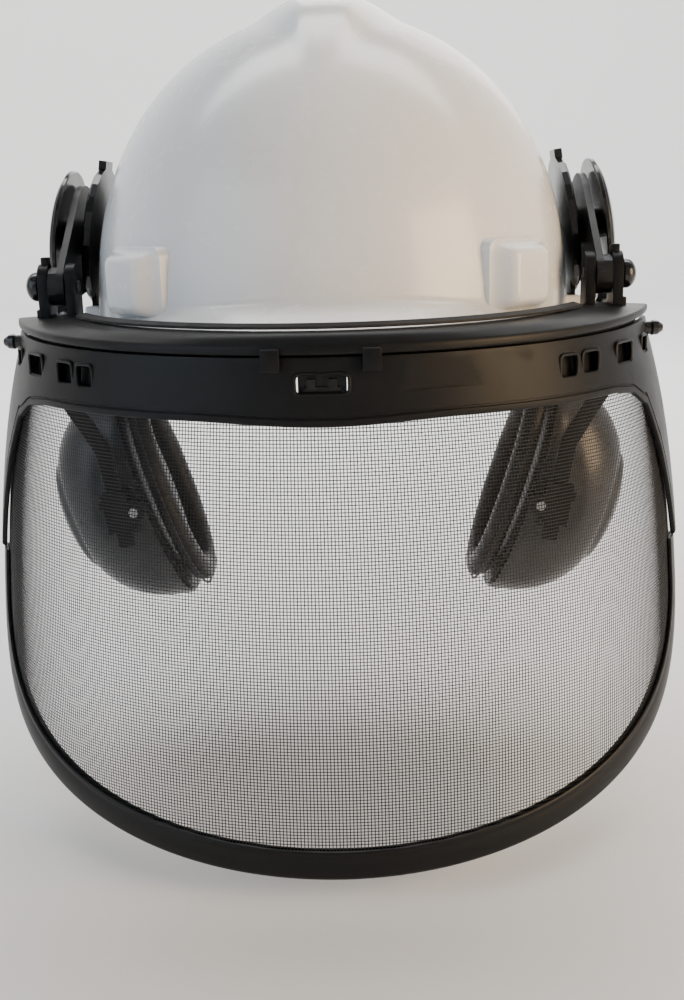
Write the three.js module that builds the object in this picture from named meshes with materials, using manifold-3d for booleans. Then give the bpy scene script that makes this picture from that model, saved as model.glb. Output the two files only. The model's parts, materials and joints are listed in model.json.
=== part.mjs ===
// A mesh face shield carried by a safety helmet, with a pair of helmet-mounted ear muffs.
// Millimetres. +X is the wearer's left, the wearer looks along -Y, +Z is up.
// The origin is the centre of the head opening, in the plane of the helmet's rim.

import * as THREE from 'three';
import { mergeVertices } from 'three/addons/utils/BufferGeometryUtils.js';
import Module from 'manifold-3d';

const wasm = await Module();
wasm.setup();

// ---------------------------------------------------------------- driving dimensions

const GAP = 0.35; // running clearance between neighbouring pieces
const WAY_OUT = 40; // how far a cutting tool runs past the wall that it cuts

const HAT = {
  halfWidth: 113,
  halfLength: 128,
  centreY: 4,
  crown: 142,
  crownPower: 2.4,
  wall: 2.4,
  ridgeRise: 6,
  ridgeHalfWidth: 38,
  ridgeFlat: 0.38,
  ridgeFrontY: -92,
  ridgeBackY: 100,
  lip: 5,
  peak: 14,
  lipSlope: 0.58,
  creaseSide: 5,
  creaseFront: 20,
  segments: 40,
  rings: 11,
};

const BOSS = { angle: 44, height: 25, baseWidth: 34, baseHeight: 27, faceWidth: 23, faceHeight: 22, proud: 9 };

const SLOT = { inner: 113.6, outer: 116.6, halfWidth: 12.4, wallOuter: 119, halfBlock: 17, low: 0, high: 11.5 };

const HUB = {
  height: 44, // the visor's turning axis runs along X at this height, at Y = 0
  lean: 8, // degrees that the hub's plates lean in at the top, with the helmet's side
  plateRadius: 32,
  plateInner: 110.4,
  plateThickness: 3.6,
  postRadius: 9,
  postEnd: 121.5,
  stubRadius: 7,
};

const CAP = { inner: 126, depth: 7, radius: 31, stubReach: 3 };

const ARM = { inner: 117.8, outer: 120.8, hubRadius: 24, endRadius: 8.5, bossInner: 117.5, bossOuter: 124.5 };

const TOWER = {
  y: -50,
  pinHeight: 23,
  halfWidth: 7,
  top: 33,
  base: 5,
  innerPlate: [113, 117.1],
  outerPlate: [124.9, 129.3],
  pinRadius: 3,
  headRadius: 6.5,
  headEnd: 136,
};

const VISOR = {
  halfWidthTop: 146,
  flare: 27,
  flareFade: 80,
  reach: 152,
  reachGrowth: 2,
  edgeAngle: 74,
  widest: -117,
  bottom: -210,
};

const FRAME = { inner: 0.25, thickness: 2.6, bandBottom: -23, legEnd: -98, bandTop: 1.5, endRise: 2.3, dip: 2 };

const SCREEN = { outer: -0.45, inner: -1.35, top: -15.5, edgeAngle: 73.3, bottom: -208 };

const TRIM = { outer: 1.2, slotOuter: -0.1, slotInner: -1.7, inner: -3, width: 11, web: 1.6, normalShare: 0.972 };

const GUARD = {
  innerWidth: 120,
  innerReach: 149,
  outerWidth: 149,
  outerReach: 157,
  innerTop: 10.5,
  innerThickness: 6,
  outerTopFront: 5,
  outerTopEnd: 9,
  outerThickness: 3,
};

// The guard's skirt hangs close behind the visor's frame: short across the front, deeper behind the openings.
const SKIRT = { outer: -1.2, inner: -3, top: 5.5, frontBottom: -1.5, sideBottom: -14, frontEnd: 33, end: 69 };

const MUFF = {
  y: 10, // centre of the cups, a little behind the hubs
  hingeX: 131,
  hingeZ: 7,
  hingePin: 2,
  legHalfSpan: 42,
  legWidth: 8,
  legThickness: 3.5,
  kneeX: 111,
  kneeZ: -57,
  footX: 103,
  footZ: -104,
  pivotX: 98,
  pivotZ: -86,
  cupLean: 18,
};

const CUP = { halfWidth: 36, halfHeight: 58, depth: 49, wall: 3, rim: -2.9 };

const CUSHION = { pathWidth: 26.5, pathHeight: 48.5, radial: 8, half: 6.4, centre: -12 };

const BAND = { halfWidth: 80, halfLength: 97, y: 4, thickness: 1.8, half: 14, frontZ: 14, rearZ: -16 };

const RATCHET = {
  z: -18,
  y: 102,
  pitchRadius: 5,
  teeth: 10,
  rackPitch: Math.PI,
  rackHalf: 3.4,
  knobRadius: 19,
  tailBend: 30,
  tailEnd: 52,
  tailDrop: 13.5,
};

const COLOURS = {
  shell: 0xe9ebee,
  black: 0x17181a,
  satin: 0x26282b,
  mesh: 0x2b2d30,
  rubber: 0x101113,
  cup: 0x3a3d42,
  cushion: 0x1c1d20,
  foam: 0x55585c,
  steel: 0xb9bcc0,
  strap: 0x8f9398,
  band: 0xd9dadb,
};

// ---------------------------------------------------------------- helpers

const radians = THREE.MathUtils.degToRad;
const point = (x, y, z) => new THREE.Vector3(x, y, z);

function smoothstep(value) {
  const t = Math.min(1, Math.max(0, value));
  return t * t * (3 - 2 * t);
}

function signedVolume(positions, index) {
  const a = new THREE.Vector3();
  const b = new THREE.Vector3();
  const c = new THREE.Vector3();
  let volume = 0;
  for (let i = 0; i < index.length; i += 3) {
    a.fromArray(positions, 3 * index[i]);
    b.fromArray(positions, 3 * index[i + 1]);
    c.fromArray(positions, 3 * index[i + 2]);
    volume += a.dot(b.cross(c)) / 6;
  }
  return volume;
}

// A closed solid from bare triangles, turned to face outwards.
function solidFrom(positions, triangles) {
  const index = Array.from(triangles);
  if (signedVolume(positions, index) < 0) {
    index.reverse();
  }
  const geometry = new THREE.BufferGeometry();
  geometry.setAttribute('position', new THREE.Float32BufferAttribute(positions, 3));
  geometry.setIndex(index);
  const merged = mergeVertices(geometry, 1e-4);
  return new wasm.Manifold(new wasm.Mesh({
    numProp: 3,
    vertProperties: new Float32Array(merged.attributes.position.array),
    triVerts: new Uint32Array(merged.index.array),
  }));
}

function solid(geometry) {
  const copy = geometry.clone();
  copy.deleteAttribute('normal');
  copy.deleteAttribute('uv');
  const merged = mergeVertices(copy, 1e-4);
  return solidFrom(Array.from(merged.attributes.position.array), merged.index.array);
}

function toGeometry(manifold) {
  const mesh = manifold.getMesh();
  const geometry = new THREE.BufferGeometry();
  geometry.setAttribute('position', new THREE.Float32BufferAttribute(Array.from(mesh.vertProperties), 3));
  geometry.setIndex(Array.from(mesh.triVerts));
  geometry.computeVertexNormals();
  return geometry;
}

function moved(manifold, matrix) {
  return solid(toGeometry(manifold).applyMatrix4(matrix));
}

// The same solid for the other side of the head: side is +1 as built, or -1 mirrored in X.
function handed(manifold, side) {
  return side > 0 ? manifold : moved(manifold, new THREE.Matrix4().makeScale(-1, 1, 1));
}

const join = (first, ...others) => others.reduce((sum, next) => sum.add(next), first);
const cut = (first, ...tools) => tools.reduce((rest, tool) => rest.subtract(tool), first);

function block([x0, x1], [y0, y1], [z0, z1]) {
  const box = new THREE.BoxGeometry(x1 - x0, y1 - y0, z1 - z0);
  return solid(box.translate((x0 + x1) / 2, (y0 + y1) / 2, (z0 + z1) / 2));
}

// A round bar from one coordinate to another along the axis 'x' or 'y', through the point (u, v)
// of the other two coordinates.
function bar(axis, from, to, [u, v], radius, segments = 20) {
  const cylinder = new THREE.CylinderGeometry(radius, radius, to - from, segments);
  const middle = (from + to) / 2;
  if (axis === 'x') {
    return solid(cylinder.rotateZ(Math.PI / 2).translate(middle, u, v));
  }
  return solid(cylinder.translate(u, middle, v));
}

// A turned solid: profile points are [radius, distance along X], first and last on the axis.
function turned(profile, segments = 24) {
  const points = profile.map(([radius, along]) => new THREE.Vector2(radius, along));
  return solid(new THREE.LatheGeometry(points, segments).rotateZ(-Math.PI / 2));
}

// A flat plate in the YZ plane between two X coordinates.
function plate(shape, x0, x1, curveSegments = 10) {
  const settings = { depth: x1 - x0, bevelEnabled: false, curveSegments };
  const geometry = new THREE.ExtrudeGeometry(shape, settings);
  const toYZ = new THREE.Matrix4().makeBasis(point(0, 1, 0), point(0, 0, 1), point(1, 0, 0));
  return solid(geometry.applyMatrix4(toYZ).translate(x0, 0, 0));
}

// A solid through rings of equal length; an open run of rings is capped at both ends.
function loft(rings, closed = false, outline = null) {
  const count = rings[0].length;
  const positions = rings.flatMap((ring) => ring.flatMap((p) => [p.x, p.y, p.z]));
  const triangles = [];
  const steps = closed ? rings.length : rings.length - 1;
  for (let i = 0; i < steps; i += 1) {
    const here = i * count;
    const there = ((i + 1) % rings.length) * count;
    for (let j = 0; j < count; j += 1) {
      const next = (j + 1) % count;
      triangles.push(here + j, here + next, there + j);
      triangles.push(here + next, there + next, there + j);
    }
  }
  if (!closed) {
    const flat = outline ?? rings[0].map((_, j) => {
      const turn = (2 * Math.PI * j) / count;
      return new THREE.Vector2(Math.cos(turn), Math.sin(turn));
    });
    const last = (rings.length - 1) * count;
    const caps = THREE.ShapeUtils.triangulateShape(flat, []).flatMap(([a, b, c]) => [
      c, b, a, last + a, last + b, last + c,
    ]);
    const agree = !turnsClash([...triangles, ...caps]);
    triangles.push(...(agree ? caps : caps.reverse()));
  }
  return solidFrom(positions, triangles);
}

// True if two triangles run along a shared edge in the same direction.
function turnsClash(triangles) {
  const edges = new Set();
  for (let i = 0; i < triangles.length; i += 3) {
    for (let k = 0; k < 3; k += 1) {
      const key = `${triangles[i + k]}>${triangles[i + ((k + 1) % 3)]}`;
      if (edges.has(key)) {
        return true;
      }
      edges.add(key);
    }
  }
  return false;
}

// A solid whose outline runs from one pole to another at every bearing, like a bowl or a dome.
function polar(profileAt, segments) {
  const profiles = Array.from({ length: segments }, (_, i) => profileAt((2 * Math.PI * i) / segments));
  const inside = profiles[0].length - 2;
  const positions = [profiles[0][0], profiles[0][inside + 1]].flatMap((p) => [p.x, p.y, p.z]);
  for (const profile of profiles) {
    positions.push(...profile.slice(1, -1).flatMap((p) => [p.x, p.y, p.z]));
  }
  const at = (i, j) => 2 + (i % segments) * inside + j;
  const triangles = [];
  for (let i = 0; i < segments; i += 1) {
    triangles.push(0, at(i, 0), at(i + 1, 0));
    triangles.push(1, at(i + 1, inside - 1), at(i, inside - 1));
    for (let j = 0; j < inside - 1; j += 1) {
      triangles.push(at(i, j), at(i, j + 1), at(i + 1, j));
      triangles.push(at(i + 1, j), at(i, j + 1), at(i + 1, j + 1));
    }
  }
  return solidFrom(positions, triangles);
}

function steps(from, to, count) {
  return Array.from({ length: count + 1 }, (_, i) => from + ((to - from) * i) / count);
}

function slab(width, height, radius) {
  const shape = new THREE.Shape();
  const x = width / 2 - radius;
  const y = height / 2 - radius;
  shape.absarc(x, y, radius, 0, Math.PI / 2);
  shape.absarc(-x, y, radius, Math.PI / 2, Math.PI);
  shape.absarc(-x, -y, radius, Math.PI, 1.5 * Math.PI);
  shape.absarc(x, -y, radius, 1.5 * Math.PI, 2 * Math.PI);
  shape.closePath();
  return shape;
}

const object = new THREE.Group();

function add(name, manifold, colour, roughness, metalness = 0, parent = object) {
  const material = new THREE.MeshStandardMaterial({ color: colour, roughness, metalness });
  const mesh = new THREE.Mesh(toGeometry(manifold), material);
  mesh.name = name;
  parent.add(mesh);
  return mesh;
}

const sideName = (side) => (side > 0 ? 'left' : 'right');

// ---------------------------------------------------------------- helmet shell

function ridgeRise(x, y) {
  const along = (y - HAT.ridgeFrontY) / (HAT.ridgeBackY - HAT.ridgeFrontY);
  if (along <= 0 || along >= 1) {
    return 0;
  }
  const taper = Math.min(1, 2.4 * Math.min(along, 1 - along));
  const halfWidth = HAT.ridgeHalfWidth * taper ** 0.8;
  const across = (halfWidth - Math.abs(x)) / ((1 - HAT.ridgeFlat) * halfWidth);
  return HAT.ridgeRise * smoothstep(across) * smoothstep(4 * along) * smoothstep(4 * (1 - along));
}

// A point of the dome at a bearing from the front, and a steepness from 0 at the rim to 90 at the top.
function domePoint(bearing, steepness, inset) {
  const shrink = Math.cos(steepness);
  const x = (HAT.halfWidth - inset) * shrink * Math.sin(bearing);
  const y = HAT.centreY - (HAT.halfLength - inset) * shrink * Math.cos(bearing);
  const rise = Math.max(0, Math.sin(steepness)) ** (2 / HAT.crownPower);
  return point(x, y, (HAT.crown - inset) * rise + ridgeRise(x, y));
}

function creaseHeight(bearing) {
  const front = Math.max(0, Math.cos(bearing));
  return HAT.creaseSide + (HAT.creaseFront - HAT.creaseSide) * front * front;
}

function lipWidth(bearing) {
  return HAT.lip + HAT.peak * Math.max(0, Math.cos(bearing)) ** 1.5;
}

function outwards(bearing) {
  return point(Math.sin(bearing) / HAT.halfWidth, -Math.cos(bearing) / HAT.halfLength, 0).normalize();
}

function hatOutside() {
  return polar((bearing) => {
    const crease = creaseHeight(bearing);
    const low = Math.asin((crease / HAT.crown) ** (HAT.crownPower / 2));
    const dome = steps(Math.PI / 2, low, HAT.rings).map((steep) => domePoint(bearing, steep, 0));
    const width = lipWidth(bearing);
    const tip = dome[dome.length - 1].clone().addScaledVector(outwards(bearing), width);
    tip.z = crease - HAT.lipSlope * width;
    const tipUnder = tip.clone().setZ(tip.z - HAT.wall);
    const root = dome[dome.length - 1].clone().setZ(crease - HAT.wall);
    root.addScaledVector(outwards(bearing), -3 * HAT.wall);
    return [...dome, tip, tipUnder, root, point(0, HAT.centreY, HAT.creaseSide)];
  }, HAT.segments);
}

function hatInside() {
  return polar((bearing) => {
    const dome = steps(Math.PI / 2, 0, HAT.rings - 3).map((steep) => domePoint(bearing, steep, HAT.wall));
    const below = dome[dome.length - 1].clone().setZ(-WAY_OUT);
    return [...dome, below, point(0, HAT.centreY, -WAY_OUT)];
  }, HAT.segments);
}

// A raised pad with sloping sides on each front quarter of the shell.
function frontBoss() {
  const rings = [
    [-2 * HAT.wall, BOSS.baseWidth, BOSS.baseHeight],
    [0, BOSS.baseWidth, BOSS.baseHeight],
    [BOSS.proud, BOSS.faceWidth, BOSS.faceHeight],
  ].map(([x, w, h]) => [point(x, -w / 2, -h / 2), point(x, w / 2, -h / 2), point(x, w / 2, h / 2),
    point(x, -w / 2, h / 2)]);
  const place = domePoint(radians(BOSS.angle), 0, 0);
  const normal = outwards(radians(BOSS.angle));
  const turn = new THREE.Matrix4().makeRotationZ(Math.atan2(normal.y, normal.x));
  return moved(loft(rings), turn.setPosition(place.x, place.y, BOSS.height));
}

function slotBlock() {
  const halfWidth = [-SLOT.halfBlock, SLOT.halfBlock];
  return block([HAT.halfWidth - 6, SLOT.wallOuter], halfWidth, [SLOT.low, SLOT.high]);
}

function slotHole() {
  return block([SLOT.inner, SLOT.outer], [-SLOT.halfWidth, SLOT.halfWidth], [-WAY_OUT, WAY_OUT]);
}

function hatShell() {
  let shell = hatOutside();
  for (const side of [1, -1]) {
    shell = join(shell, handed(frontBoss(), side), handed(slotBlock(), side));
  }
  shell = cut(shell, hatInside());
  for (const side of [1, -1]) {
    shell = cut(shell, handed(slotHole(), side));
  }
  return shell;
}

add('hat_shell', hatShell(), COLOURS.shell, 0.35);

// ---------------------------------------------------------------- suspension inside the helmet

function bandHeight(bearing) {
  const rear = (1 - Math.cos(bearing)) / 2;
  return BAND.frontZ + (BAND.rearZ - BAND.frontZ) * rear * rear;
}

// A standing strip round the head: offset is outwards from the headband's outer face.
function standingStrip(fromDeg, toDeg, count, offset, thickness, half, lift = 0) {
  const rings = steps(radians(fromDeg), radians(toDeg), count).map((bearing) => {
    const at = (out, z) => point(
      (BAND.halfWidth + out) * Math.sin(bearing),
      BAND.y - (BAND.halfLength + out) * Math.cos(bearing),
      z,
    );
    const z = bandHeight(bearing) + lift;
    const inner = offset - thickness;
    return [at(offset, z - half), at(offset, z + half), at(inner, z + half), at(inner, z - half)];
  });
  return loft(rings);
}

add('headband', standingStrip(-152, 152, 36, 0, BAND.thickness, BAND.half), COLOURS.band, 0.5);

const sweatbandOffset = -BAND.thickness - 0.5;
add('sweatband', standingStrip(-58, 58, 18, sweatbandOffset, 4, BAND.half + 2), COLOURS.cushion, 0.9);

const KEY = { bearings: [42, 138, 222, 318], width: 22, plateHeight: 26, plateBase: 10, thickness: 3 };

// A key at each corner of the suspension: a plate beside the shell and a foot that reaches the headband.
function suspensionKey(bearingDeg) {
  const bearing = radians(bearingDeg);
  const wall = domePoint(bearing, radians(12), HAT.wall + 1.5);
  const radius = Math.hypot(wall.x, wall.y);
  const bandEdge = point(
    BAND.halfWidth * Math.sin(bearing),
    BAND.y - BAND.halfLength * Math.cos(bearing),
    0,
  );
  const reach = radius - Math.hypot(bandEdge.x, bandEdge.y) - 2.5;
  const half = KEY.width / 2;
  const upright = block([-KEY.thickness - 1, -1], [-half, half], [KEY.plateBase, KEY.plateBase + KEY.plateHeight]);
  const foot = block([-reach, -2], [-half + 3, half - 3], [KEY.plateBase, KEY.plateBase + KEY.thickness]);
  const turn = new THREE.Matrix4().makeRotationZ(Math.atan2(wall.y, wall.x));
  return moved(join(upright, foot), turn.setPosition(wall.x, wall.y, 0));
}

KEY.bearings.forEach((bearing, i) => {
  add(`suspension_key_${i + 1}`, suspensionKey(bearing), COLOURS.black, 0.5);
});

// A crown strap arches over the head between two opposite keys.
function crownStrap(bearingDeg, top) {
  const bearing = radians(bearingDeg);
  const along = point(Math.sin(bearing), -Math.cos(bearing), 0);
  const across = point(Math.cos(bearing), Math.sin(bearing), 0);
  const halfSpan = 86;
  const foot = 40;
  const rings = steps(-1, 1, 24).map((s) => {
    const arch = Math.sqrt(1 - 0.94 * s * s);
    const drop = (1 - (arch - Math.sqrt(0.06)) / (1 - Math.sqrt(0.06))) * (top - foot);
    const centre = along.clone().multiplyScalar(halfSpan * s).setZ(top - drop);
    centre.y += HAT.centreY;
    const slope = point(along.x, along.y, 0).multiplyScalar(s * 0.9).setZ(Math.max(0.25, arch)).normalize();
    const corner = (w, h) => centre.clone().addScaledVector(across, w).addScaledVector(slope, h);
    return [corner(-9.5, 0), corner(9.5, 0), corner(9.5, 1.3), corner(-9.5, 1.3)];
  });
  return loft(rings);
}

add('crown_strap_a', crownStrap(42, 112), COLOURS.strap, 0.9);
add('crown_strap_b', crownStrap(-42, 115), COLOURS.strap, 0.9);

// ---------------------------------------------------------------- nape ratchet

function ratchetHousing() {
  const body = block([-24, 24], [RATCHET.y - 6, RATCHET.y + 7], [RATCHET.z - 15, RATCHET.z + 15]);
  const reach = RATCHET.pitchRadius + 2 * RATCHET.rackHalf + 1.2;
  const channel = block([-WAY_OUT, WAY_OUT], [RATCHET.y - 2, RATCHET.y + 3], [RATCHET.z - reach, RATCHET.z + reach]);
  const shaftHole = bar('y', RATCHET.y, RATCHET.y + WAY_OUT, [0, RATCHET.z], 3.4, 14);
  return cut(body, channel, shaftHole);
}

function ratchetPinion() {
  const tooth = RATCHET.rackPitch * 0.3;
  const centre = [0, RATCHET.z];
  let pinion = bar('y', RATCHET.y - 1.6, RATCHET.y + 2.6, centre, RATCHET.pitchRadius - 1.1, 10);
  for (let i = 0; i < RATCHET.teeth; i += 1) {
    const spoke = block([0, RATCHET.pitchRadius + 0.7], [RATCHET.y - 1.6, RATCHET.y + 2.6], [-tooth / 2, tooth / 2]);
    const turn = new THREE.Matrix4().makeRotationY((2 * Math.PI * (i + 0.5)) / RATCHET.teeth);
    pinion = join(pinion, moved(spoke, turn.setPosition(0, 0, RATCHET.z)));
  }
  return join(pinion, bar('y', RATCHET.y + 2, RATCHET.y + 8.2, centre, 3, 12));
}

function ratchetKnob() {
  const shape = new THREE.Shape();
  const lobes = 12;
  const points = steps(0, 2 * Math.PI, 4 * lobes).slice(0, -1).map((turn) => {
    const radius = RATCHET.knobRadius + 0.8 * Math.cos(lobes * turn);
    return new THREE.Vector2(radius * Math.cos(turn), radius * Math.sin(turn));
  });
  shape.setFromPoints(points);
  const settings = { depth: 9, bevelEnabled: false };
  const disc = solid(new THREE.ExtrudeGeometry(shape, settings).rotateX(Math.PI / 2).translate(0, 9, 0));
  return moved(disc, new THREE.Matrix4().makeTranslation(0, RATCHET.y + 8.6, RATCHET.z));
}

// The nape strap of one side: a toothed bar in the housing and a bowed tail towards the headband.
function napeRack(side) {
  const level = RATCHET.pitchRadius + RATCHET.rackHalf + 0.75;
  const z = RATCHET.z + side * level;
  const bow = steps(0, 1, 10).map((s) => {
    const x = RATCHET.tailBend + (RATCHET.tailEnd - RATCHET.tailBend) * s;
    const y = RATCHET.y + 0.5 - RATCHET.tailDrop * s * s;
    return [[-1, -RATCHET.rackHalf], [1, -RATCHET.rackHalf], [1, RATCHET.rackHalf], [-1, RATCHET.rackHalf]]
      .map(([out, up]) => point(x + 0.6 * s * out, y + out, z + up));
  });
  let rack = join(
    loft(bow),
    block([-18, RATCHET.tailBend + 1], [RATCHET.y - 0.5, RATCHET.y + 1.5], [z - RATCHET.rackHalf, z + RATCHET.rackHalf]),
  );
  const inner = z - side * (RATCHET.rackHalf + 0.5);
  for (let i = -5; i < 5; i += 1) {
    const x = (i + 0.5) * RATCHET.rackPitch;
    const tooth = [Math.min(inner, inner - side * 0.75), Math.max(inner, inner + side * 0.75)];
    rack = join(rack, block([x - 0.45, x + 0.45], [RATCHET.y - 0.5, RATCHET.y + 1.5], tooth));
  }
  return side > 0 ? rack : moved(rack, new THREE.Matrix4().makeScale(-1, 1, 1));
}

add('ratchet_housing', ratchetHousing(), COLOURS.black, 0.5);
add('ratchet_pinion', ratchetPinion(), COLOURS.band, 0.5);
add('ratchet_knob', ratchetKnob(), COLOURS.black, 0.5);
add('nape_rack_left', napeRack(1), COLOURS.band, 0.5);
add('nape_rack_right', napeRack(-1), COLOURS.band, 0.5);

// ---------------------------------------------------------------- hubs and carrier arms

// Leans a piece built round the X axis at the origin, and carries it to the hub's centre.
function leaned(manifold, x) {
  const turn = new THREE.Matrix4().makeRotationY(-radians(HUB.lean));
  return moved(manifold, turn.setPosition(x, 0, HUB.height));
}

function hubBase() {
  const disc = turned([[0, 0], [HUB.plateRadius, 0], [HUB.plateRadius, HUB.plateThickness - 1],
    [HUB.plateRadius - 1, HUB.plateThickness], [0, HUB.plateThickness]], 26);
  const clip = block([0, HUB.plateThickness], [-7, 7], [HUB.plateRadius - 2, HUB.plateRadius + 3]);
  const blade = block([SLOT.inner + GAP, SLOT.outer - GAP], [-SLOT.halfWidth + GAP, SLOT.halfWidth - GAP], [-2, 20]);
  const post = bar('x', HUB.plateInner + 2, HUB.postEnd, [0, HUB.height], HUB.postRadius, 18);
  const stub = bar('x', -6, CAP.stubReach, [0, 0], HUB.stubRadius, 16);
  return join(
    leaned(join(disc, clip), HUB.plateInner),
    blade,
    post,
    leaned(stub, CAP.inner),
  );
}

// The outline that two circles and their common tangents make.
function linkShape(y0, z0, r0, y1, z1, r1) {
  const heading = Math.atan2(z1 - z0, y1 - y0);
  const spread = Math.acos((r0 - r1) / Math.hypot(y1 - y0, z1 - z0));
  const shape = new THREE.Shape();
  shape.absarc(y0, z0, r0, heading + spread, heading - spread + 2 * Math.PI);
  shape.absarc(y1, z1, r1, heading - spread, heading + spread);
  shape.closePath();
  return shape;
}

function roundHole(y, z, radius) {
  const hole = new THREE.Path();
  hole.absarc(y, z, radius, 0, 2 * Math.PI, true);
  return hole;
}

function carrierArm() {
  const outline = linkShape(0, HUB.height, ARM.hubRadius, TOWER.y, TOWER.pinHeight, ARM.endRadius);
  const arm = plate(outline, ARM.inner, ARM.outer, 9);
  const boss = bar('x', ARM.bossInner, ARM.bossOuter, [TOWER.y, TOWER.pinHeight], ARM.endRadius, 16);
  return cut(
    join(arm, boss),
    bar('x', 100, 140, [0, HUB.height], HUB.postRadius + GAP, 18),
    bar('x', 100, 140, [TOWER.y, TOWER.pinHeight], TOWER.pinRadius + GAP, 12),
  );
}

function towerPin() {
  const shank = bar('x', TOWER.innerPlate[0] - 0.6, TOWER.outerPlate[1] + 1, [TOWER.y, TOWER.pinHeight],
    TOWER.pinRadius, 12);
  const start = TOWER.outerPlate[1] + GAP;
  const head = turned([[0, 0], [TOWER.headRadius, 0], [TOWER.headRadius, 2], [TOWER.headRadius - 1.6, 4.6],
    [TOWER.headRadius - 4, TOWER.headEnd - start], [0, TOWER.headEnd - start]], 14);
  const place = new THREE.Matrix4().makeTranslation(start, TOWER.y, TOWER.pinHeight);
  return join(shank, moved(head, place));
}

for (const side of [1, -1]) {
  add(`hub_base_${sideName(side)}`, handed(hubBase(), side), COLOURS.black, 0.4);
  add(`carrier_arm_${sideName(side)}`, handed(carrierArm(), side), COLOURS.black, 0.45);
  add(`tower_pin_${sideName(side)}`, handed(towerPin(), side), COLOURS.black, 0.35);
}

// ---------------------------------------------------------------- brow guard

function guardOuterTop(angleDeg) {
  const end = Math.abs(angleDeg) / VISOR.edgeAngle;
  return GUARD.outerTopFront + (GUARD.outerTopEnd - GUARD.outerTopFront) * end * end;
}

function ovalPoint(halfWidth, reach, angleDeg, z) {
  const turn = radians(angleDeg);
  return point(halfWidth * Math.sin(turn), -reach * Math.cos(turn), z);
}

function guardSweep() {
  const rings = steps(-VISOR.edgeAngle, VISOR.edgeAngle, 32).map((angle) => {
    const top = guardOuterTop(angle);
    const fold = 0.62;
    const foldWidth = GUARD.innerWidth + fold * (GUARD.outerWidth - GUARD.innerWidth);
    const foldReach = GUARD.innerReach + fold * (GUARD.outerReach - GUARD.innerReach);
    return [
      ovalPoint(GUARD.innerWidth, GUARD.innerReach, angle, GUARD.innerTop - GUARD.innerThickness),
      ovalPoint(GUARD.innerWidth, GUARD.innerReach, angle, GUARD.innerTop),
      ovalPoint(foldWidth, foldReach, angle, GUARD.innerTop - 1),
      ovalPoint(GUARD.outerWidth, GUARD.outerReach, angle, top),
      ovalPoint(GUARD.outerWidth, GUARD.outerReach, angle, top - GUARD.outerThickness),
      ovalPoint(foldWidth, foldReach, angle, top - GUARD.outerThickness + 0.5),
    ];
  });
  return loft(rings);
}

function guardSkirt() {
  const rings = steps(-SKIRT.end, SKIRT.end, 46).map((angle) => {
    const drop = smoothstep((Math.abs(angle) - SKIRT.frontEnd) / 3);
    const bottom = SKIRT.frontBottom + (SKIRT.sideBottom - SKIRT.frontBottom) * drop;
    return [[SKIRT.outer, SKIRT.top], [SKIRT.outer, bottom], [SKIRT.inner, bottom], [SKIRT.inner, SKIRT.top]]
      .map(([offset, z]) => visorPoint(angle, z, offset));
  });
  return loft(rings);
}

function towerPlate([x0, x1]) {
  const y = [TOWER.y - TOWER.halfWidth, TOWER.y + TOWER.halfWidth];
  const upright = block([x0, x1], y, [TOWER.base, TOWER.top - TOWER.halfWidth]);
  return join(upright, bar('x', x0, x1, [TOWER.y, TOWER.top - TOWER.halfWidth], TOWER.halfWidth, 16));
}

function tower() {
  const [outerStart, outerEnd] = TOWER.outerPlate;
  const lug = block([outerStart, outerEnd - 1], [TOWER.y - 2.5, TOWER.y + 2.5], [TOWER.top - 3, TOWER.top + 3]);
  const nub = block([outerEnd - 1, outerEnd + 2.5], [TOWER.y - 3, TOWER.y + 3], [TOWER.base + 3, TOWER.base + 8]);
  return join(towerPlate(TOWER.innerPlate), towerPlate(TOWER.outerPlate), lug, nub);
}

function hookTab(x) {
  return block([x - 3.5, x + 3.5], [-158, -155.6], [-4, 4.5]);
}

const PEG = { x0: 131.5, x1: 150, y: -46.5, z: -1.5, radius: 3 };

function pegEar() {
  const ear = block([133, 136.4], [PEG.y - 5.5, PEG.y + 3.4], [-7, 6.2]);
  return cut(ear, bar('x', 100, 160, [PEG.y, PEG.z], PEG.radius + GAP, 12));
}

function browGuard() {
  let guard = join(guardSweep(), guardSkirt(), hookTab(18.5), hookTab(-18.5));
  for (const side of [1, -1]) {
    guard = join(guard, handed(tower(), side), handed(pegEar(), side));
    guard = cut(guard, handed(bar('x', 100, 140, [TOWER.y, TOWER.pinHeight], TOWER.pinRadius + GAP, 12), side));
  }
  return guard;
}

function browSeal() {
  const rings = steps(-60, 60, 24).map((angle) => {
    const at = (out, z) => ovalPoint(GUARD.innerWidth + out, GUARD.innerReach + out * 0.3, angle, z);
    const low = GUARD.innerTop + GAP;
    return [at(0.5, low), at(0.5, low + 2.2), at(5, low + 1), at(5, low)];
  });
  return loft(rings);
}

add('brow_guard', browGuard(), COLOURS.satin, 0.45);
add('brow_seal', browSeal(), COLOURS.rubber, 0.7);

// ---------------------------------------------------------------- visor

// A point of the visor's curved face, offset outwards from it.
function visorPoint(angleDeg, z, offset) {
  const flare = VISOR.flare * (1 - Math.exp(Math.min(z, 0) / VISOR.flareFade));
  const reach = VISOR.reach + VISOR.reachGrowth * Math.max(0, z / VISOR.bottom);
  return ovalPoint(VISOR.halfWidthTop + flare + offset, reach + offset, angleDeg, z);
}

// A lower edge at an angle round the face: one quarter of an oval on each side.
function lowerEdge(angleDeg, edgeAngle, bottom) {
  const side = Math.min(1, Math.abs(angleDeg) / edgeAngle);
  return VISOR.widest + (bottom - VISOR.widest) * Math.sqrt(1 - side * side);
}

function visorNormal(angleDeg, z) {
  const round = visorPoint(angleDeg + 0.5, z, 0).sub(visorPoint(angleDeg - 0.5, z, 0));
  const up = visorPoint(angleDeg, z + 1, 0).sub(visorPoint(angleDeg, z - 1, 0));
  return round.cross(up).normalize();
}

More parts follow.
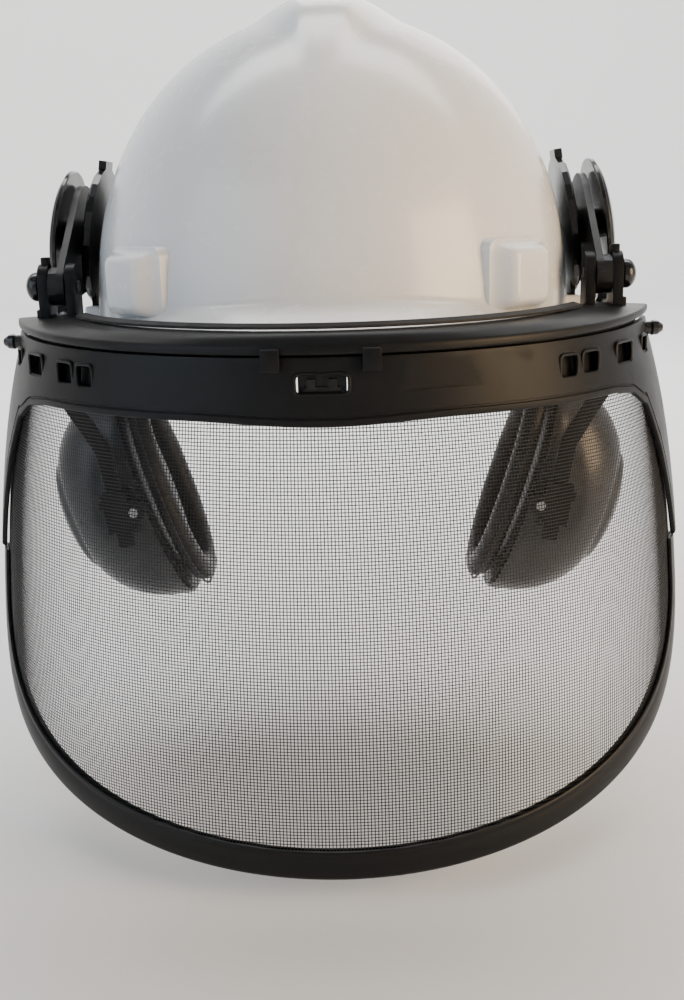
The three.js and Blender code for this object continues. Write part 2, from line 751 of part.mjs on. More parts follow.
// A curved panel between two heights given at each angle.
function curvedPanel(angles, topAt, bottomAt, outer, inner, levels) {
  const rings = angles.map((angle) => {
    const heights = steps(topAt(angle), bottomAt(angle), levels);
    const front = heights.map((z) => visorPoint(angle, z, outer));
    const back = heights.map((z) => visorPoint(angle, z, inner)).reverse();
    return [...front, ...back];
  });
  return loft(rings, false, ladder(levels));
}

// A tall thin outline with as many points down each side as a panel has heights.
function ladder(levels) {
  const down = steps(levels, 0, levels);
  const up = steps(0, levels, levels);
  return [...down.map((y) => new THREE.Vector2(1, y)), ...up.map((y) => new THREE.Vector2(0, y))];
}

// The frame's lower edge: a band across the brow, then a leg that narrows down each rear edge.
const LEG_CONTOUR = [[50, FRAME.bandBottom], [56, -25], [61, -32], [65.5, -53], [70, -82], [72, FRAME.legEnd],
  [VISOR.edgeAngle, FRAME.legEnd]];

function frameBottom(angleDeg) {
  const angle = Math.abs(angleDeg);
  if (angle <= LEG_CONTOUR[0][0]) {
    return FRAME.bandBottom - FRAME.dip * smoothstep(1 - angle / 20);
  }
  const next = LEG_CONTOUR.findIndex(([a]) => a >= angle);
  const [a0, z0] = LEG_CONTOUR[next - 1];
  const [a1, z1] = LEG_CONTOUR[next];
  return z0 + ((z1 - z0) * (angle - a0)) / (a1 - a0);
}

function frameTop(angleDeg) {
  return FRAME.bandTop + FRAME.endRise * (angleDeg / VISOR.edgeAngle) ** 2;
}

const frameAngles = [...steps(-50, 50, 20)];
for (const [angle] of LEG_CONTOUR.slice(1)) {
  frameAngles.push(angle);
  frameAngles.unshift(-angle);
}
frameAngles.sort((a, b) => a - b);

// A tool that cuts an opening of the given size straight through the frame at an angle round it.
function frameOpening(angleDeg, z, width, height, radius, from = -8, to = 12) {
  const tool = plate(slab(width, height, radius), from, to, 2);
  const place = visorPoint(angleDeg, z, 0);
  return moved(tool, new THREE.Matrix4().makeRotationZ(radians(angleDeg - 90)).setPosition(place.x, place.y, z));
}

const OPENINGS = [
  { angle: 39.2, z: -8.6, width: 10, height: 9 },
  { angle: 44.4, z: -8.2, width: 11, height: 9 },
  { angle: 55, z: -7.4, width: 16, height: 9 },
  { angle: 66, z: -6.8, width: 11, height: 7.5 },
];

const CENTRE_SLOT = { z: -8.8, width: 20, height: 7.6 };

function visorFrame() {
  let frame = curvedPanel(frameAngles, frameTop, frameBottom, FRAME.thickness, FRAME.inner, 3);
  frame = cut(frame, frameOpening(0, CENTRE_SLOT.z, CENTRE_SLOT.width, CENTRE_SLOT.height, 2.4));
  frame = cut(frame, frameOpening(17.5, -6.4, 37, 11, 0.8, FRAME.thickness - 0.6));
  for (const side of [1, -1]) {
    for (const { angle, z, width, height } of OPENINGS) {
      frame = cut(frame, frameOpening(side * angle, z, width, height, 2.2));
    }
    frame = cut(frame, handed(bar('x', 100, 170, [PEG.y, PEG.z], PEG.radius + 0.9, 12), side));
  }
  return frame;
}

function meshScreen() {
  const angles = [-SCREEN.edgeAngle, ...steps(-72, 72, 30), SCREEN.edgeAngle];
  const bottomAt = (angle) => lowerEdge(angle, SCREEN.edgeAngle, SCREEN.bottom);
  return curvedPanel(angles, () => SCREEN.top, bottomAt, SCREEN.outer, SCREEN.inner, 8);
}

// The trim's path down one rear edge from the frame's leg, round the bottom and up the other side.
function trimPath() {
  const corner = steps(0, Math.PI / 2, 20).map((turn) => [
    VISOR.edgeAngle * Math.cos(turn),
    VISOR.widest + (VISOR.bottom - VISOR.widest) * Math.sin(turn),
  ]);
  const half = [[VISOR.edgeAngle, FRAME.legEnd - 0.6], [VISOR.edgeAngle, (FRAME.legEnd + VISOR.widest) / 2], ...corner];
  const other = half.slice(0, -1).reverse().map(([angle, z]) => [-angle, z]);
  return [...half, ...other];
}

// The trim is a channel: its slot holds the edge of the mesh, its web closes the edge.
function edgeTrim() {
  const stations = trimPath();
  const path = stations.map(([angle, z]) => visorPoint(angle, z, 0));
  const section = [
    [-TRIM.web, TRIM.outer], [-TRIM.web, TRIM.inner], [TRIM.width, TRIM.inner], [TRIM.width, TRIM.slotInner],
    [GAP, TRIM.slotInner], [GAP, TRIM.slotOuter], [TRIM.width, TRIM.slotOuter], [TRIM.width, TRIM.outer],
  ];
  const rings = path.map((place, i) => {
    const ahead = path[Math.min(i + 1, path.length - 1)];
    const behind = path[Math.max(i - 1, 0)];
    const tangent = ahead.clone().sub(behind).normalize();
    const [angle, z] = stations[i];
    const outward = visorNormal(angle * TRIM.normalShare, z);
    outward.addScaledVector(tangent, -outward.dot(tangent)).normalize();
    const inward = tangent.clone().cross(outward).normalize();
    return section.map(([into, out]) => place.clone().addScaledVector(inward, into).addScaledVector(outward, out));
  });
  return loft(rings, false, section.map(([into, out]) => new THREE.Vector2(into, out)));
}

function snapPeg() {
  const length = PEG.x1 - PEG.x0;
  const profile = [[0, 0], [PEG.radius + 2, 0], [PEG.radius + 2, 1.2], [PEG.radius, 1.2], [PEG.radius, length - 6],
    [PEG.radius + 0.5, length - 5], [PEG.radius + 0.2, length - 2.6], [PEG.radius - 1.4, length - 0.4], [0, length]];
  return moved(turned(profile, 12), new THREE.Matrix4().makeTranslation(PEG.x0, PEG.y, PEG.z));
}

function centreClip() {
  const back = -VISOR.reach;
  const body = block([-9, 9], [back + GAP, back + 2.8], [-14.6, -2.4]);
  const tooth = (x) => block([x - 1.6, x + 1.6], [back - 2, back + 1], [-11, -7]);
  const bow = block([-7, 7], [back - 1, back + 1], [-11.6, -10]);
  return join(body, tooth(-4), tooth(4), bow);
}

add('visor_frame', visorFrame(), COLOURS.satin, 0.5);
add('mesh_screen', meshScreen(), COLOURS.mesh, 0.5, 0.3);
add('edge_trim', edgeTrim(), COLOURS.rubber, 0.55);
add('centre_clip', centreClip(), COLOURS.black, 0.4);
for (const side of [1, -1]) {
  add(`snap_peg_${sideName(side)}`, handed(snapPeg(), side), COLOURS.black, 0.35);
}

// ---------------------------------------------------------------- ear muffs

// The muff's hub: a domed cap on the hub base's stub, with a fork below for the arm's hinge.
function muffHub() {
  const profile = [[0, 0], [CAP.radius, 0], [CAP.radius, 2.4], [CAP.radius - 2.4, 3]];
  for (const turn of steps(0.2, 1, 3)) {
    const angle = (turn * Math.PI) / 2;
    profile.push([(CAP.radius - 2.4) * Math.cos(angle), 3 + (CAP.depth - 3) * Math.sin(angle)]);
  }
  profile[profile.length - 1][0] = 0;
  const bore = bar('x', -1, CAP.stubReach + 2 * GAP, [0, 0], HUB.stubRadius + GAP, 16);
  const cap = leaned(cut(turned(profile, 24), bore), CAP.inner);
  const ear = (y0, y1) => join(
    block([MUFF.hingeX - 3.5, MUFF.hingeX + 4], [y0, y1], [MUFF.hingeZ, 24]),
    bar('y', y0, y1, [MUFF.hingeX, MUFF.hingeZ], 4.6, 14),
  );
  const bridge = block([MUFF.hingeX - 3.2, MUFF.hingeX + 3.6], [-10, 10], [14, 25]);
  const pinHole = bar('y', -20, 20, [MUFF.hingeX, MUFF.hingeZ], MUFF.hingePin + GAP, 10);
  return cut(join(cap, ear(-10, -6), ear(6, 10), bridge), pinHole);
}

function hingePin() {
  return bar('y', -11.5, 11.5, [MUFF.hingeX, MUFF.hingeZ], MUFF.hingePin, 10);
}

// Half of the yoke's centre line, from the foot of one leg up to the middle of the crossbeam.
function yokeHalf(sign) {
  const y = MUFF.y + sign * MUFF.legHalfSpan;
  return [
    point(MUFF.footX, y, MUFF.footZ),
    point(MUFF.kneeX - 0.3, y, MUFF.kneeZ - 2),
    point(MUFF.kneeX + 1, y, MUFF.kneeZ + 2),
    point(127.5, y, -29.5),
    point(131, y, -23.5),
    point(133, y - sign * 0.6, -15),
    point(134, y - sign * 4, -8.6),
    point(134, y - sign * 10, -6),
    point(134, y - sign * 20, -5.6),
  ];
}

function sweepBar(path, width, thickness) {
  const across = point(1, 0, 0);
  const rings = path.map((place, i) => {
    const ahead = path[Math.min(i + 1, path.length - 1)];
    const behind = path[Math.max(i - 1, 0)];
    const tangent = ahead.clone().sub(behind).normalize();
    const wide = across.clone().addScaledVector(tangent, -across.dot(tangent)).normalize();
    const thin = tangent.clone().cross(wide);
    return [[1, 1], [-1, 1], [-1, -1], [1, -1]].map(([w, t]) => place.clone()
      .addScaledVector(wide, (w * width) / 2)
      .addScaledVector(thin, (t * thickness) / 2));
  });
  return loft(rings);
}

function muffArm() {
  const yoke = sweepBar([...yokeHalf(-1), ...yokeHalf(1).reverse()], MUFF.legWidth, MUFF.legThickness);
  const knuckle = bar('y', -5.6, 5.6, [MUFF.hingeX, MUFF.hingeZ], 4.6, 14);
  const web = block([MUFF.hingeX - 1, MUFF.hingeX + 4.6], [-5.6, 5.6], [-6, MUFF.hingeZ]);
  const pinHole = bar('y', -20, 20, [MUFF.hingeX, MUFF.hingeZ], MUFF.hingePin + GAP, 10);
  return cut(join(yoke, web, knuckle), pinHole);
}

// The legs below the knee run straight; the sliders ride on them.
const legLean = Math.atan2(MUFF.kneeX - MUFF.footX, MUFF.kneeZ - MUFF.footZ);
const legAxisX = MUFF.kneeX + (MUFF.pivotZ - MUFF.kneeZ) * Math.tan(legLean);

// A slider, in the leg's own frame: a sleeve round the leg and an eye beside it for the cup's pin.
function slider() {
  const half = { x: 6.2, y: 4.2, z: 10 };
  const eye = point(MUFF.pivotX - legAxisX, 0, 0).applyAxisAngle(point(0, 1, 0), -legLean);
  const sleeve = block([-half.x, half.x], [-half.y, half.y], [-half.z, half.z]);
  const ring = join(
    bar('y', -half.y, half.y, [eye.x, eye.z], 5.4, 14),
    block([eye.x, 0], [-half.y, half.y], [eye.z - 5, eye.z + 5]),
  );
  const channel = block([-MUFF.legWidth / 2 - GAP, MUFF.legWidth / 2 + GAP],
    [-MUFF.legThickness / 2 - GAP, MUFF.legThickness / 2 + GAP], [-WAY_OUT, WAY_OUT]);
  const window = bar('y', -WAY_OUT, WAY_OUT, [eye.x, eye.z], 2.3 + GAP, 12);
  const thumb = block([2, half.x + 1.6], [-half.y, half.y], [3, 7]);
  return cut(join(sleeve, ring, thumb), channel, window);
}

function cupPin(sign) {
  const outer = MUFF.y + sign * (MUFF.legHalfSpan + 5.6);
  const inner = MUFF.y + sign * (CUP.halfWidth - CUP.wall - 0.8);
  return bar('y', Math.min(outer, inner), Math.max(outer, inner), [0, 0], 2.3, 12);
}

// Ear-cup pieces are built round the cup's pivot: X points out of the ear, the cup's oval is in YZ.
function cupShell() {
  const stations = steps(0, 1, 6);
  const skin = (inset, x) => (s) => {
    const shrink = Math.sqrt(Math.max(0, 1 - s ** 2.6)) * 0.92 + 0.08 * (1 - s);
    return [x + (CUP.depth - inset) * s, (CUP.halfWidth - inset) * shrink, (CUP.halfHeight - inset) * shrink];
  };
  return polar((turn) => {
    const oval = ([x, halfY, halfZ]) => point(x, halfY * Math.sin(turn), halfZ * Math.cos(turn));
    const outside = stations.map(skin(0, CUP.rim)).map(oval).reverse();
    const inside = stations.map(skin(CUP.wall, CUP.rim)).map(oval);
    return [...outside, ...inside];
  }, 22);
}

function ovalPlate(halfY, halfZ, x0, x1, hole = null) {
  const shape = new THREE.Shape();
  shape.absellipse(0, 0, halfY, halfZ, 0, 2 * Math.PI);
  if (hole) {
    const inner = new THREE.Path();
    inner.absellipse(0, 0, hole[0], hole[1], 0, 2 * Math.PI, true);
    shape.holes.push(inner);
  }
  return plate(shape, x0, x1, 11);
}

function earCushion() {
  const around = 22;
  const rings = Array.from({ length: around }, (_, i) => {
    const turn = (2 * Math.PI * i) / around;
    const centre = point(CUSHION.centre, CUSHION.pathWidth * Math.sin(turn), CUSHION.pathHeight * Math.cos(turn));
    const out = point(0, Math.sin(turn) / CUSHION.pathWidth, Math.cos(turn) / CUSHION.pathHeight).normalize();
    return Array.from({ length: 8 }, (__, j) => {
      const angle = (2 * Math.PI * (j + 0.5)) / 8;
      const bulge = (value, power) => Math.sign(value) * Math.abs(value) ** power;
      return centre.clone()
        .addScaledVector(out, CUSHION.radial * bulge(Math.cos(angle), 0.7))
        .add(point(CUSHION.half * bulge(Math.sin(angle), 0.7), 0, 0));
    });
  });
  return loft(rings, true);
}

function addMuff(side) {
  const name = sideName(side);
  const put = (piece, manifold, colour, roughness, metalness, parent) => {
    add(`${piece}_${name}`, handed(manifold, side), colour, roughness, metalness, parent);
  };
  put('muff_hub', muffHub(), COLOURS.black, 0.25);
  put('hinge_pin', hingePin(), COLOURS.steel, 0.3, 0.9);
  put('muff_arm', muffArm(), COLOURS.black, 0.4);

  for (const [label, sign] of [['front', -1], ['rear', 1]]) {
    const leg = new THREE.Group();
    leg.position.set(side * legAxisX, MUFF.y + sign * MUFF.legHalfSpan, MUFF.pivotZ);
    leg.rotation.y = side * legLean;
    object.add(leg);
    put(`slider_${label}`, slider(), COLOURS.black, 0.45, 0, leg);
    const pin = new THREE.Group();
    pin.position.set(side * MUFF.pivotX, 0, MUFF.pivotZ);
    object.add(pin);
    put(`cup_pin_${label}`, cupPin(sign), COLOURS.steel, 0.3, 0.9, pin);
  }

  const cup = new THREE.Group();
  cup.position.set(side * MUFF.pivotX, MUFF.y, MUFF.pivotZ);
  cup.rotation.y = side * radians(MUFF.cupLean);
  object.add(cup);
  const pinHoles = bar('y', -WAY_OUT * 2, WAY_OUT * 2, [0, 0], 2.3 + GAP, 12);
  put('cup_shell', cut(cupShell(), pinHoles), COLOURS.cup, 0.3, 0, cup);
  const ring = ovalPlate(CUP.halfWidth - 1, CUP.halfHeight - 1, CUP.rim - 2.1, CUP.rim - GAP, [19, 40]);
  put('cup_plate', ring, COLOURS.black, 0.5, 0, cup);
  put('cup_foam', ovalPlate(26, 47, 4, 13), COLOURS.foam, 0.95, 0, cup);
  put('ear_cushion', earCushion(), COLOURS.cushion, 0.7, 0, cup);
}

addMuff(1);
addMuff(-1);

export default object;
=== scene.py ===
"""A mesh face shield on a safety helmet, with ear muffs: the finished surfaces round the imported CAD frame."""

import json
import math

import bmesh
import bpy
from mathutils import Matrix, Vector


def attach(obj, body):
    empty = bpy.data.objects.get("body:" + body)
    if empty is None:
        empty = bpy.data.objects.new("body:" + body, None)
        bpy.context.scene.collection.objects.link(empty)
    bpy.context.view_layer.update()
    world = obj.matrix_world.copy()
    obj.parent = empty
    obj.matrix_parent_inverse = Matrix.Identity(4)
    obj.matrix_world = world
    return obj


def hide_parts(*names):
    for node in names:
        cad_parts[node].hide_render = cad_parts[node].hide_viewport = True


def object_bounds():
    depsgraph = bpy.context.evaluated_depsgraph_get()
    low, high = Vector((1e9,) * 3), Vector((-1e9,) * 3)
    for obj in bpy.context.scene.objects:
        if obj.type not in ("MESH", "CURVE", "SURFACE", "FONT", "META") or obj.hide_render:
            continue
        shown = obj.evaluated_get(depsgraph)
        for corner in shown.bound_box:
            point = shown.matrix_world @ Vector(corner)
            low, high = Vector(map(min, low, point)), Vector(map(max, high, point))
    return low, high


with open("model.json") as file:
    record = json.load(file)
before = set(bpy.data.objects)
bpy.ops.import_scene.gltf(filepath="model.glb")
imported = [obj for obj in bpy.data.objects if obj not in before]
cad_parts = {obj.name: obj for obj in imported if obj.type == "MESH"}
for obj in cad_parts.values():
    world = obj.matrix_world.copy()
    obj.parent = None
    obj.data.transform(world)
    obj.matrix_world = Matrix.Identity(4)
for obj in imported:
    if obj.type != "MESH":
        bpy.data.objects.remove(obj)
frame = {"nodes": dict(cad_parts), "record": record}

cad_box = [list(corner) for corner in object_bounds()]

# Sizes below are in millimetres, in the CAD part's own frame; MM brings them to the scene's metres.
MM = 0.001
SIDES = {"left": 1, "right": -1}


# ---------------------------------------------------------------- mesh helpers


def mesh_object(name, vertices, faces, smooth_angle=32):
    """An object from vertices in millimetres, its faces turned outwards, smooth up to an angle in degrees."""
    mesh = bpy.data.meshes.new(name)
    mesh.from_pydata([Vector(v) * MM for v in vertices], [], faces)
    obj = bpy.data.objects.new(name, mesh)
    bpy.context.scene.collection.objects.link(obj)
    face_outwards(obj)
    shade(obj, smooth_angle)
    return obj


def face_outwards(obj):
    bm = bmesh.new()
    bm.from_mesh(obj.data)
    bmesh.ops.recalc_face_normals(bm, faces=bm.faces)
    bm.to_mesh(obj.data)
    bm.free()


def shade(obj, angle):
    obj.data.shade_smooth()
    obj.data.set_sharp_from_angle(angle=math.radians(angle))


def apply_modifiers(obj):
    evaluated = obj.evaluated_get(bpy.context.evaluated_depsgraph_get())
    mesh = bpy.data.meshes.new_from_object(evaluated)
    obj.modifiers.clear()
    obj.data = mesh


def combine(obj, tools, operation):
    """Joins the tools to obj with 'UNION', or cuts them out of it with 'DIFFERENCE'."""
    for tool in tools:
        modifier = obj.modifiers.new(operation, "BOOLEAN")
        modifier.operation = operation
        modifier.solver = "EXACT"
        modifier.object = tool
        apply_modifiers(obj)
        bpy.data.objects.remove(tool)
    return obj


def soften(obj, width, segments=2, angle=38, smooth_angle=40):
    """Rounds the edges sharper than angle, to a width in millimetres."""
    modifier = obj.modifiers.new("soften", "BEVEL")
    modifier.width = width * MM
    modifier.segments = segments
    modifier.limit_method = "ANGLE"
    modifier.angle_limit = math.radians(angle)
    modifier.use_clamp_overlap = True
    apply_modifiers(obj)
    shade(obj, smooth_angle)
    return obj


def skin(name, rings, loop=False, smooth_angle=32):
    """A closed solid through rings of equal length; an open run of rings is capped at both ends."""
    count = len(rings[0])
    faces = []
    for i in range(len(rings) if loop else len(rings) - 1):
        here, there = i * count, (i + 1) % len(rings) * count
        for j in range(count):
            k = (j + 1) % count
            faces.append((here + j, here + k, there + k, there + j))
    if not loop:
        last = (len(rings) - 1) * count
        faces += [tuple(range(count)), tuple(range(last, last + count))]
    vertices = [point for ring in rings for point in ring]
    return mesh_object(name, vertices, faces, smooth_angle)


def polar(name, profile_at, segments, smooth_angle=32):
    """A closed solid whose outline runs from one pole to the other at every bearing."""
    profiles = [profile_at(2 * math.pi * i / segments) for i in range(segments)]
    inside = len(profiles[0]) - 2
    vertices = [profiles[0][0], profiles[0][-1]]
    for profile in profiles:
        vertices += profile[1:-1]
    faces = []
    for i in range(segments):
        here, there = 2 + i * inside, 2 + (i + 1) % segments * inside
        faces += [(0, here, there), (1, there + inside - 1, here + inside - 1)]
        faces += [(here + j, here + j + 1, there + j + 1, there + j) for j in range(inside - 1)]
    return mesh_object(name, vertices, faces, smooth_angle)


def block(x, y, z, name="block"):
    corners = [(a, b, c) for a in x for b in y for c in z]
    faces = [(0, 1, 3, 2), (4, 5, 7, 6), (0, 1, 5, 4), (2, 3, 7, 6), (0, 2, 6, 4), (1, 3, 7, 5)]
    return mesh_object(name, corners, faces)


def bar(axis, start, end, centre, radius, segments=40, name="bar"):
    """A round bar along 'x' or 'y', through the point of the other two coordinates."""
    rings = []
    for along in (start, end):
        ring = []
        for turn in spread(0, 2 * math.pi, segments)[:-1]:
            u, v = centre[0] + radius * math.cos(turn), centre[1] + radius * math.sin(turn)
            ring.append((along, u, v) if axis == "x" else (u, along, v))
        rings.append(ring)
    return skin(name, rings)


def turned(name, profile, segments=64):
    """A turned solid round X: profile points are (radius, distance along X), from axis to axis."""
    return polar(
        name,
        lambda turn: [(x, r * math.cos(turn), r * math.sin(turn)) for r, x in profile],
        segments,
    )


def place(obj, matrix):
    """Moves the mesh itself by a matrix in millimetres."""
    scaled = matrix.copy()
    scaled.translation *= MM
    obj.data.transform(scaled)
    return obj


def handed(obj, side):
    """The same piece for the other side of the head, when side is -1."""
    if side < 0:
        obj.data.transform(Matrix.Diagonal((-1, 1, 1, 1)))
        obj.data.flip_normals()
    return obj


def spread(start, end, count):
    return [start + (end - start) * i / count for i in range(count + 1)]


def smoothstep(value):
    t = min(1.0, max(0.0, value))
    return t * t * (3 - 2 * t)


def rounded_section(corners, radius, per_corner=4):
    """A closed outline of (u, v) points with its corners rounded; a radius can be given for each corner."""
    radii = radius if isinstance(radius, (list, tuple)) else [radius] * len(corners)
    outline = []
    for i, here in enumerate(corners):
        before, after = Vector(corners[i - 1]), Vector(corners[(i + 1) % len(corners)])
        here = Vector(here)
        reach = min(radii[i], 0.45 * (before - here).length, 0.45 * (after - here).length)
        start = here + (before - here).normalized() * reach
        end = here + (after - here).normalized() * reach
        for t in spread(0, 1, per_corner):
            outline.append(start * (1 - t) ** 2 + here * 2 * t * (1 - t) + end * t**2)
    return [tuple(p) for p in outline]


def finish_piece(obj, body, slot, *nodes):
    """Gives a piece its body and its material, and hides the CAD nodes that it stands for."""
    obj.data.materials.clear()
    obj.data.materials.append(MATERIALS[slot])
    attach(obj, body)
    if nodes:
        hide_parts(*nodes)
    return obj


# ---------------------------------------------------------------- materials


class Graph:
    """A material's node graph, built outwards from its Principled shader."""

    def __init__(self, name):
        self.material = bpy.data.materials.new(name)
        self.material.use_nodes = True
        self.nodes = self.material.node_tree.nodes
        self.links = self.material.node_tree.links
        self.shader = self.nodes["Principled BSDF"]
        self.coordinates = self.nodes.new("ShaderNodeTexCoord")

    def set(self, **values):
        for name, value in values.items():
            self.shader.inputs[name.replace("_", " ")].default_value = value

    def texture(self, kind, scale, output="Fac", source="Object", **settings):
        node = self.nodes.new(kind)
        for name, value in settings.items():
            if name.replace("_", " ").title() in node.inputs:
                node.inputs[name.replace("_", " ").title()].default_value = value
            else:
                setattr(node, name, value)
        node.inputs["Scale"].default_value = scale
        self.links.new(self.coordinates.outputs[source], node.inputs["Vector"])
        return node.outputs[output]

    def noise(self, scale, detail=3.0, source="Object"):
        return self.texture("ShaderNodeTexNoise", scale, source=source, detail=detail)

    def ranged(self, value, low, high, start=0.0, end=1.0):
        node = self.nodes.new("ShaderNodeMapRange")
        for name, number in (("From Min", start), ("From Max", end), ("To Min", low), ("To Max", high)):
            node.inputs[name].default_value = number
        self.links.new(value, node.inputs["Value"])
        return node.outputs["Result"]

    def maths(self, operation, a, b):
        node = self.nodes.new("ShaderNodeMath")
        node.operation = operation
        for socket, value in zip(node.inputs, (a, b)):
            if isinstance(value, (int, float)):
                socket.default_value = value
            else:
                self.links.new(value, socket)
        return node.outputs["Value"]

    def blended(self, factor, first, second):
        node = self.nodes.new("ShaderNodeMix")
        node.data_type = "RGBA"
        self.links.new(factor, node.inputs["Factor"])
        node.inputs["A"].default_value = (*first, 1)
        node.inputs["B"].default_value = (*second, 1)
        return node.outputs["Result"]

    def colour(self, output):
        self.links.new(output, self.shader.inputs["Base Color"])

    def roughness(self, output):
        self.links.new(output, self.shader.inputs["Roughness"])

    def bump(self, heights, depth):
        """heights is a list of (output, share); depth is in metres."""
        total = None
        for output, share in heights:
            part = self.maths("MULTIPLY", output, share)
            total = part if total is None else self.maths("ADD", total, part)
        node = self.nodes.new("ShaderNodeBump")
        node.inputs["Distance"].default_value = depth
        node.inputs["Strength"].default_value = 1.0
        self.links.new(total, node.inputs["Height"])
        self.links.new(node.outputs["Normal"], self.shader.inputs["Normal"])


def shades(colour, spread_share):
    return [tuple(c * k for c in colour) for k in (1 - spread_share, 1 + spread_share)]


def moulded(name, colour, roughness, grain_scale, grain_depth, drift=0.07, patch=0.06, **shader):
    """Moulded plastic: slow drift of colour, a fine spark-eroded grain, patchy gloss and faint scuffs."""
    graph = Graph(name)
    graph.set(**shader)
    dark, light = shades(colour, drift)
    graph.colour(graph.blended(graph.noise(28, 5), dark, light))
    scuffs = graph.texture("ShaderNodeTexNoise", 60, detail=8.0, distortion=1.5)
    gloss = graph.maths(
        "ADD",
        graph.ranged(graph.noise(95, 4), roughness - patch, roughness + patch),
        graph.ranged(scuffs, 0, 0.1, 0.62, 0.75),
    )
    graph.roughness(gloss)
    graph.bump([(graph.noise(grain_scale, 2), 1.0), (graph.noise(40, 1), 0.6)], grain_depth)
    return graph.material


def leatherette(name, colour):
    """Soft vinyl with a pebbled grain."""
    graph = Graph(name)
    graph.set(Specular_IOR_Level=0.5, Coat_Weight=0.08, Coat_Roughness=0.4)
    pebbles = graph.texture("ShaderNodeTexVoronoi", 620, output="Distance")
    dark, light = shades(colour, 0.16)
    # painted shade: the colour is darker in the crevices between the pebbles and lighter on their tops,
    # following the bump
    graph.colour(graph.blended(graph.ranged(pebbles, 1, 0, 0.1, 0.8), dark, light))
    graph.roughness(graph.ranged(graph.noise(140, 4), 0.36, 0.54))
    graph.bump([(pebbles, -1.0), (graph.noise(90, 3), 1.6)], 0.00012)
    return graph.material


def open_foam(name, colour):
    """Open-cell foam: small pits between thin walls."""
    graph = Graph(name)
    cells = graph.texture("ShaderNodeTexVoronoi", 780, output="Distance")
    dark, light = shades(colour, 0.4)
    # painted shade: the colour is darker in the pits between the cell walls, where the bump is lowest
    graph.colour(graph.blended(graph.ranged(cells, 0, 1, 0.05, 0.6), dark, light))
    graph.roughness(graph.ranged(graph.noise(300), 0.85, 0.98))
    graph.bump([(cells, 1.0), (graph.noise(1500, 2), 0.4)], 0.0004)
    return graph.material


def metal(name, colour, roughness):
    """Drawn steel: fine lines along the wire and a little dulling."""
    graph = Graph(name)
    graph.set(Metallic=1.0)
    dark, light = shades(colour, 0.1)
    graph.colour(graph.blended(graph.noise(60, 4), dark, light))
    lines = graph.texture("ShaderNodeTexNoise", 1400, detail=2.0)
    graph.roughness(graph.ranged(lines, roughness - 0.07, roughness + 0.1))
    graph.bump([(lines, 1.0)], 0.00001)
    return graph.material


def webbing(name, colour):
    """Woven strap: ribs along it and picks across it, laid out on the piece's UV map in millimetres."""
    graph = Graph(name)
    ribs = graph.texture("ShaderNodeTexWave", 0.32, source="UV", bands_direction="X", wave_profile="SIN")
    picks = graph.texture("ShaderNodeTexWave", 0.5, source="UV", bands_direction="Y", wave_profile="SIN")
    # the colour is partly the weave's pattern and partly painted shade: darker in the grooves between ribs and
    # picks, where the bump is lowest
    dark, light = shades(colour, 0.22)
    graph.colour(graph.blended(graph.maths("MULTIPLY", ribs, picks), dark, light))
    graph.roughness(graph.ranged(graph.noise(400), 0.75, 0.95))
    graph.set(Sheen_Weight=0.15, Sheen_Roughness=0.5)
    graph.bump([(ribs, 0.7), (picks, 0.5), (graph.noise(2600, 2), 0.3)], 0.00022)
    return graph.material


MATERIALS = {
    "shell": moulded(
        "shell", (0.74, 0.75, 0.76), 0.26, 520, 0.000012, drift=0.02, patch=0.05,
        Coat_Weight=0.25, Coat_Roughness=0.12,
    ),
    "gloss_black": moulded(
        "gloss_black", (0.0055, 0.0058, 0.0065), 0.2, 700, 0.00001, drift=0.15,
        Specular_IOR_Level=0.4, Coat_Weight=0.2, Coat_Roughness=0.08,
    ),
    "satin_black": moulded(
        "satin_black", (0.0075, 0.0078, 0.0085), 0.4, 1500, 0.00004, drift=0.14, Specular_IOR_Level=0.32,
    ),
    "frame_black": moulded(
        "frame_black", (0.0045, 0.0048, 0.0055), 0.4, 1300, 0.00003, drift=0.14, Specular_IOR_Level=0.2,
    ),
    "mesh": moulded(
        "mesh", (0.011, 0.0115, 0.0125), 0.45, 900, 0.00001, drift=0.2, Specular_IOR_Level=0.35,
    ),
    "trim": moulded(
        "trim", (0.0035, 0.0037, 0.0042), 0.4, 1100, 0.00004, drift=0.16, Specular_IOR_Level=0.24,
    ),
    "rubber": moulded(
        "rubber", (0.007, 0.007, 0.0075), 0.62, 1600, 0.00006, drift=0.18, Specular_IOR_Level=0.35,
    ),
    "cup": moulded(
        "cup", (0.038, 0.041, 0.047), 0.3, 1200, 0.00002, drift=0.08, Coat_Weight=0.1,
    ),
    "cushion": leatherette("cushion", (0.011, 0.011, 0.012)),
    "foam": open_foam("foam", (0.05, 0.052, 0.055)),
    "steel": metal("steel", (0.56, 0.57, 0.58), 0.28),
    "webbing": webbing("webbing", (0.2, 0.21, 0.225)),
    "headband": moulded(
        "headband", (0.60, 0.60, 0.58), 0.4, 900, 0.00003, drift=0.03,
        Subsurface_Weight=0.1, Subsurface_Scale=0.002,
    ),
}


# ---------------------------------------------------------------- helmet shell


HAT_HALF_WIDTH, HAT_HALF_LENGTH, HAT_CENTRE_Y, HAT_CROWN = 113, 128, 4, 142
HAT_POWER = 2.4  # how square the dome is from the side
HAT_WALL = 2.4
RIDGE_RISE, RIDGE_HALF_WIDTH, RIDGE_FLAT = 6, 38, 0.38
RIDGE_FRONT, RIDGE_BACK = -92, 100
LIP, PEAK, LIP_SLOPE = 5, 14, 0.58
CREASE_SIDE, CREASE_FRONT = 5, 20
BOSS_ANGLE, BOSS_HEIGHT, BOSS_PROUD = 44, 25, 9
BOSS_BASE, BOSS_FACE = (34, 27), (23, 22)


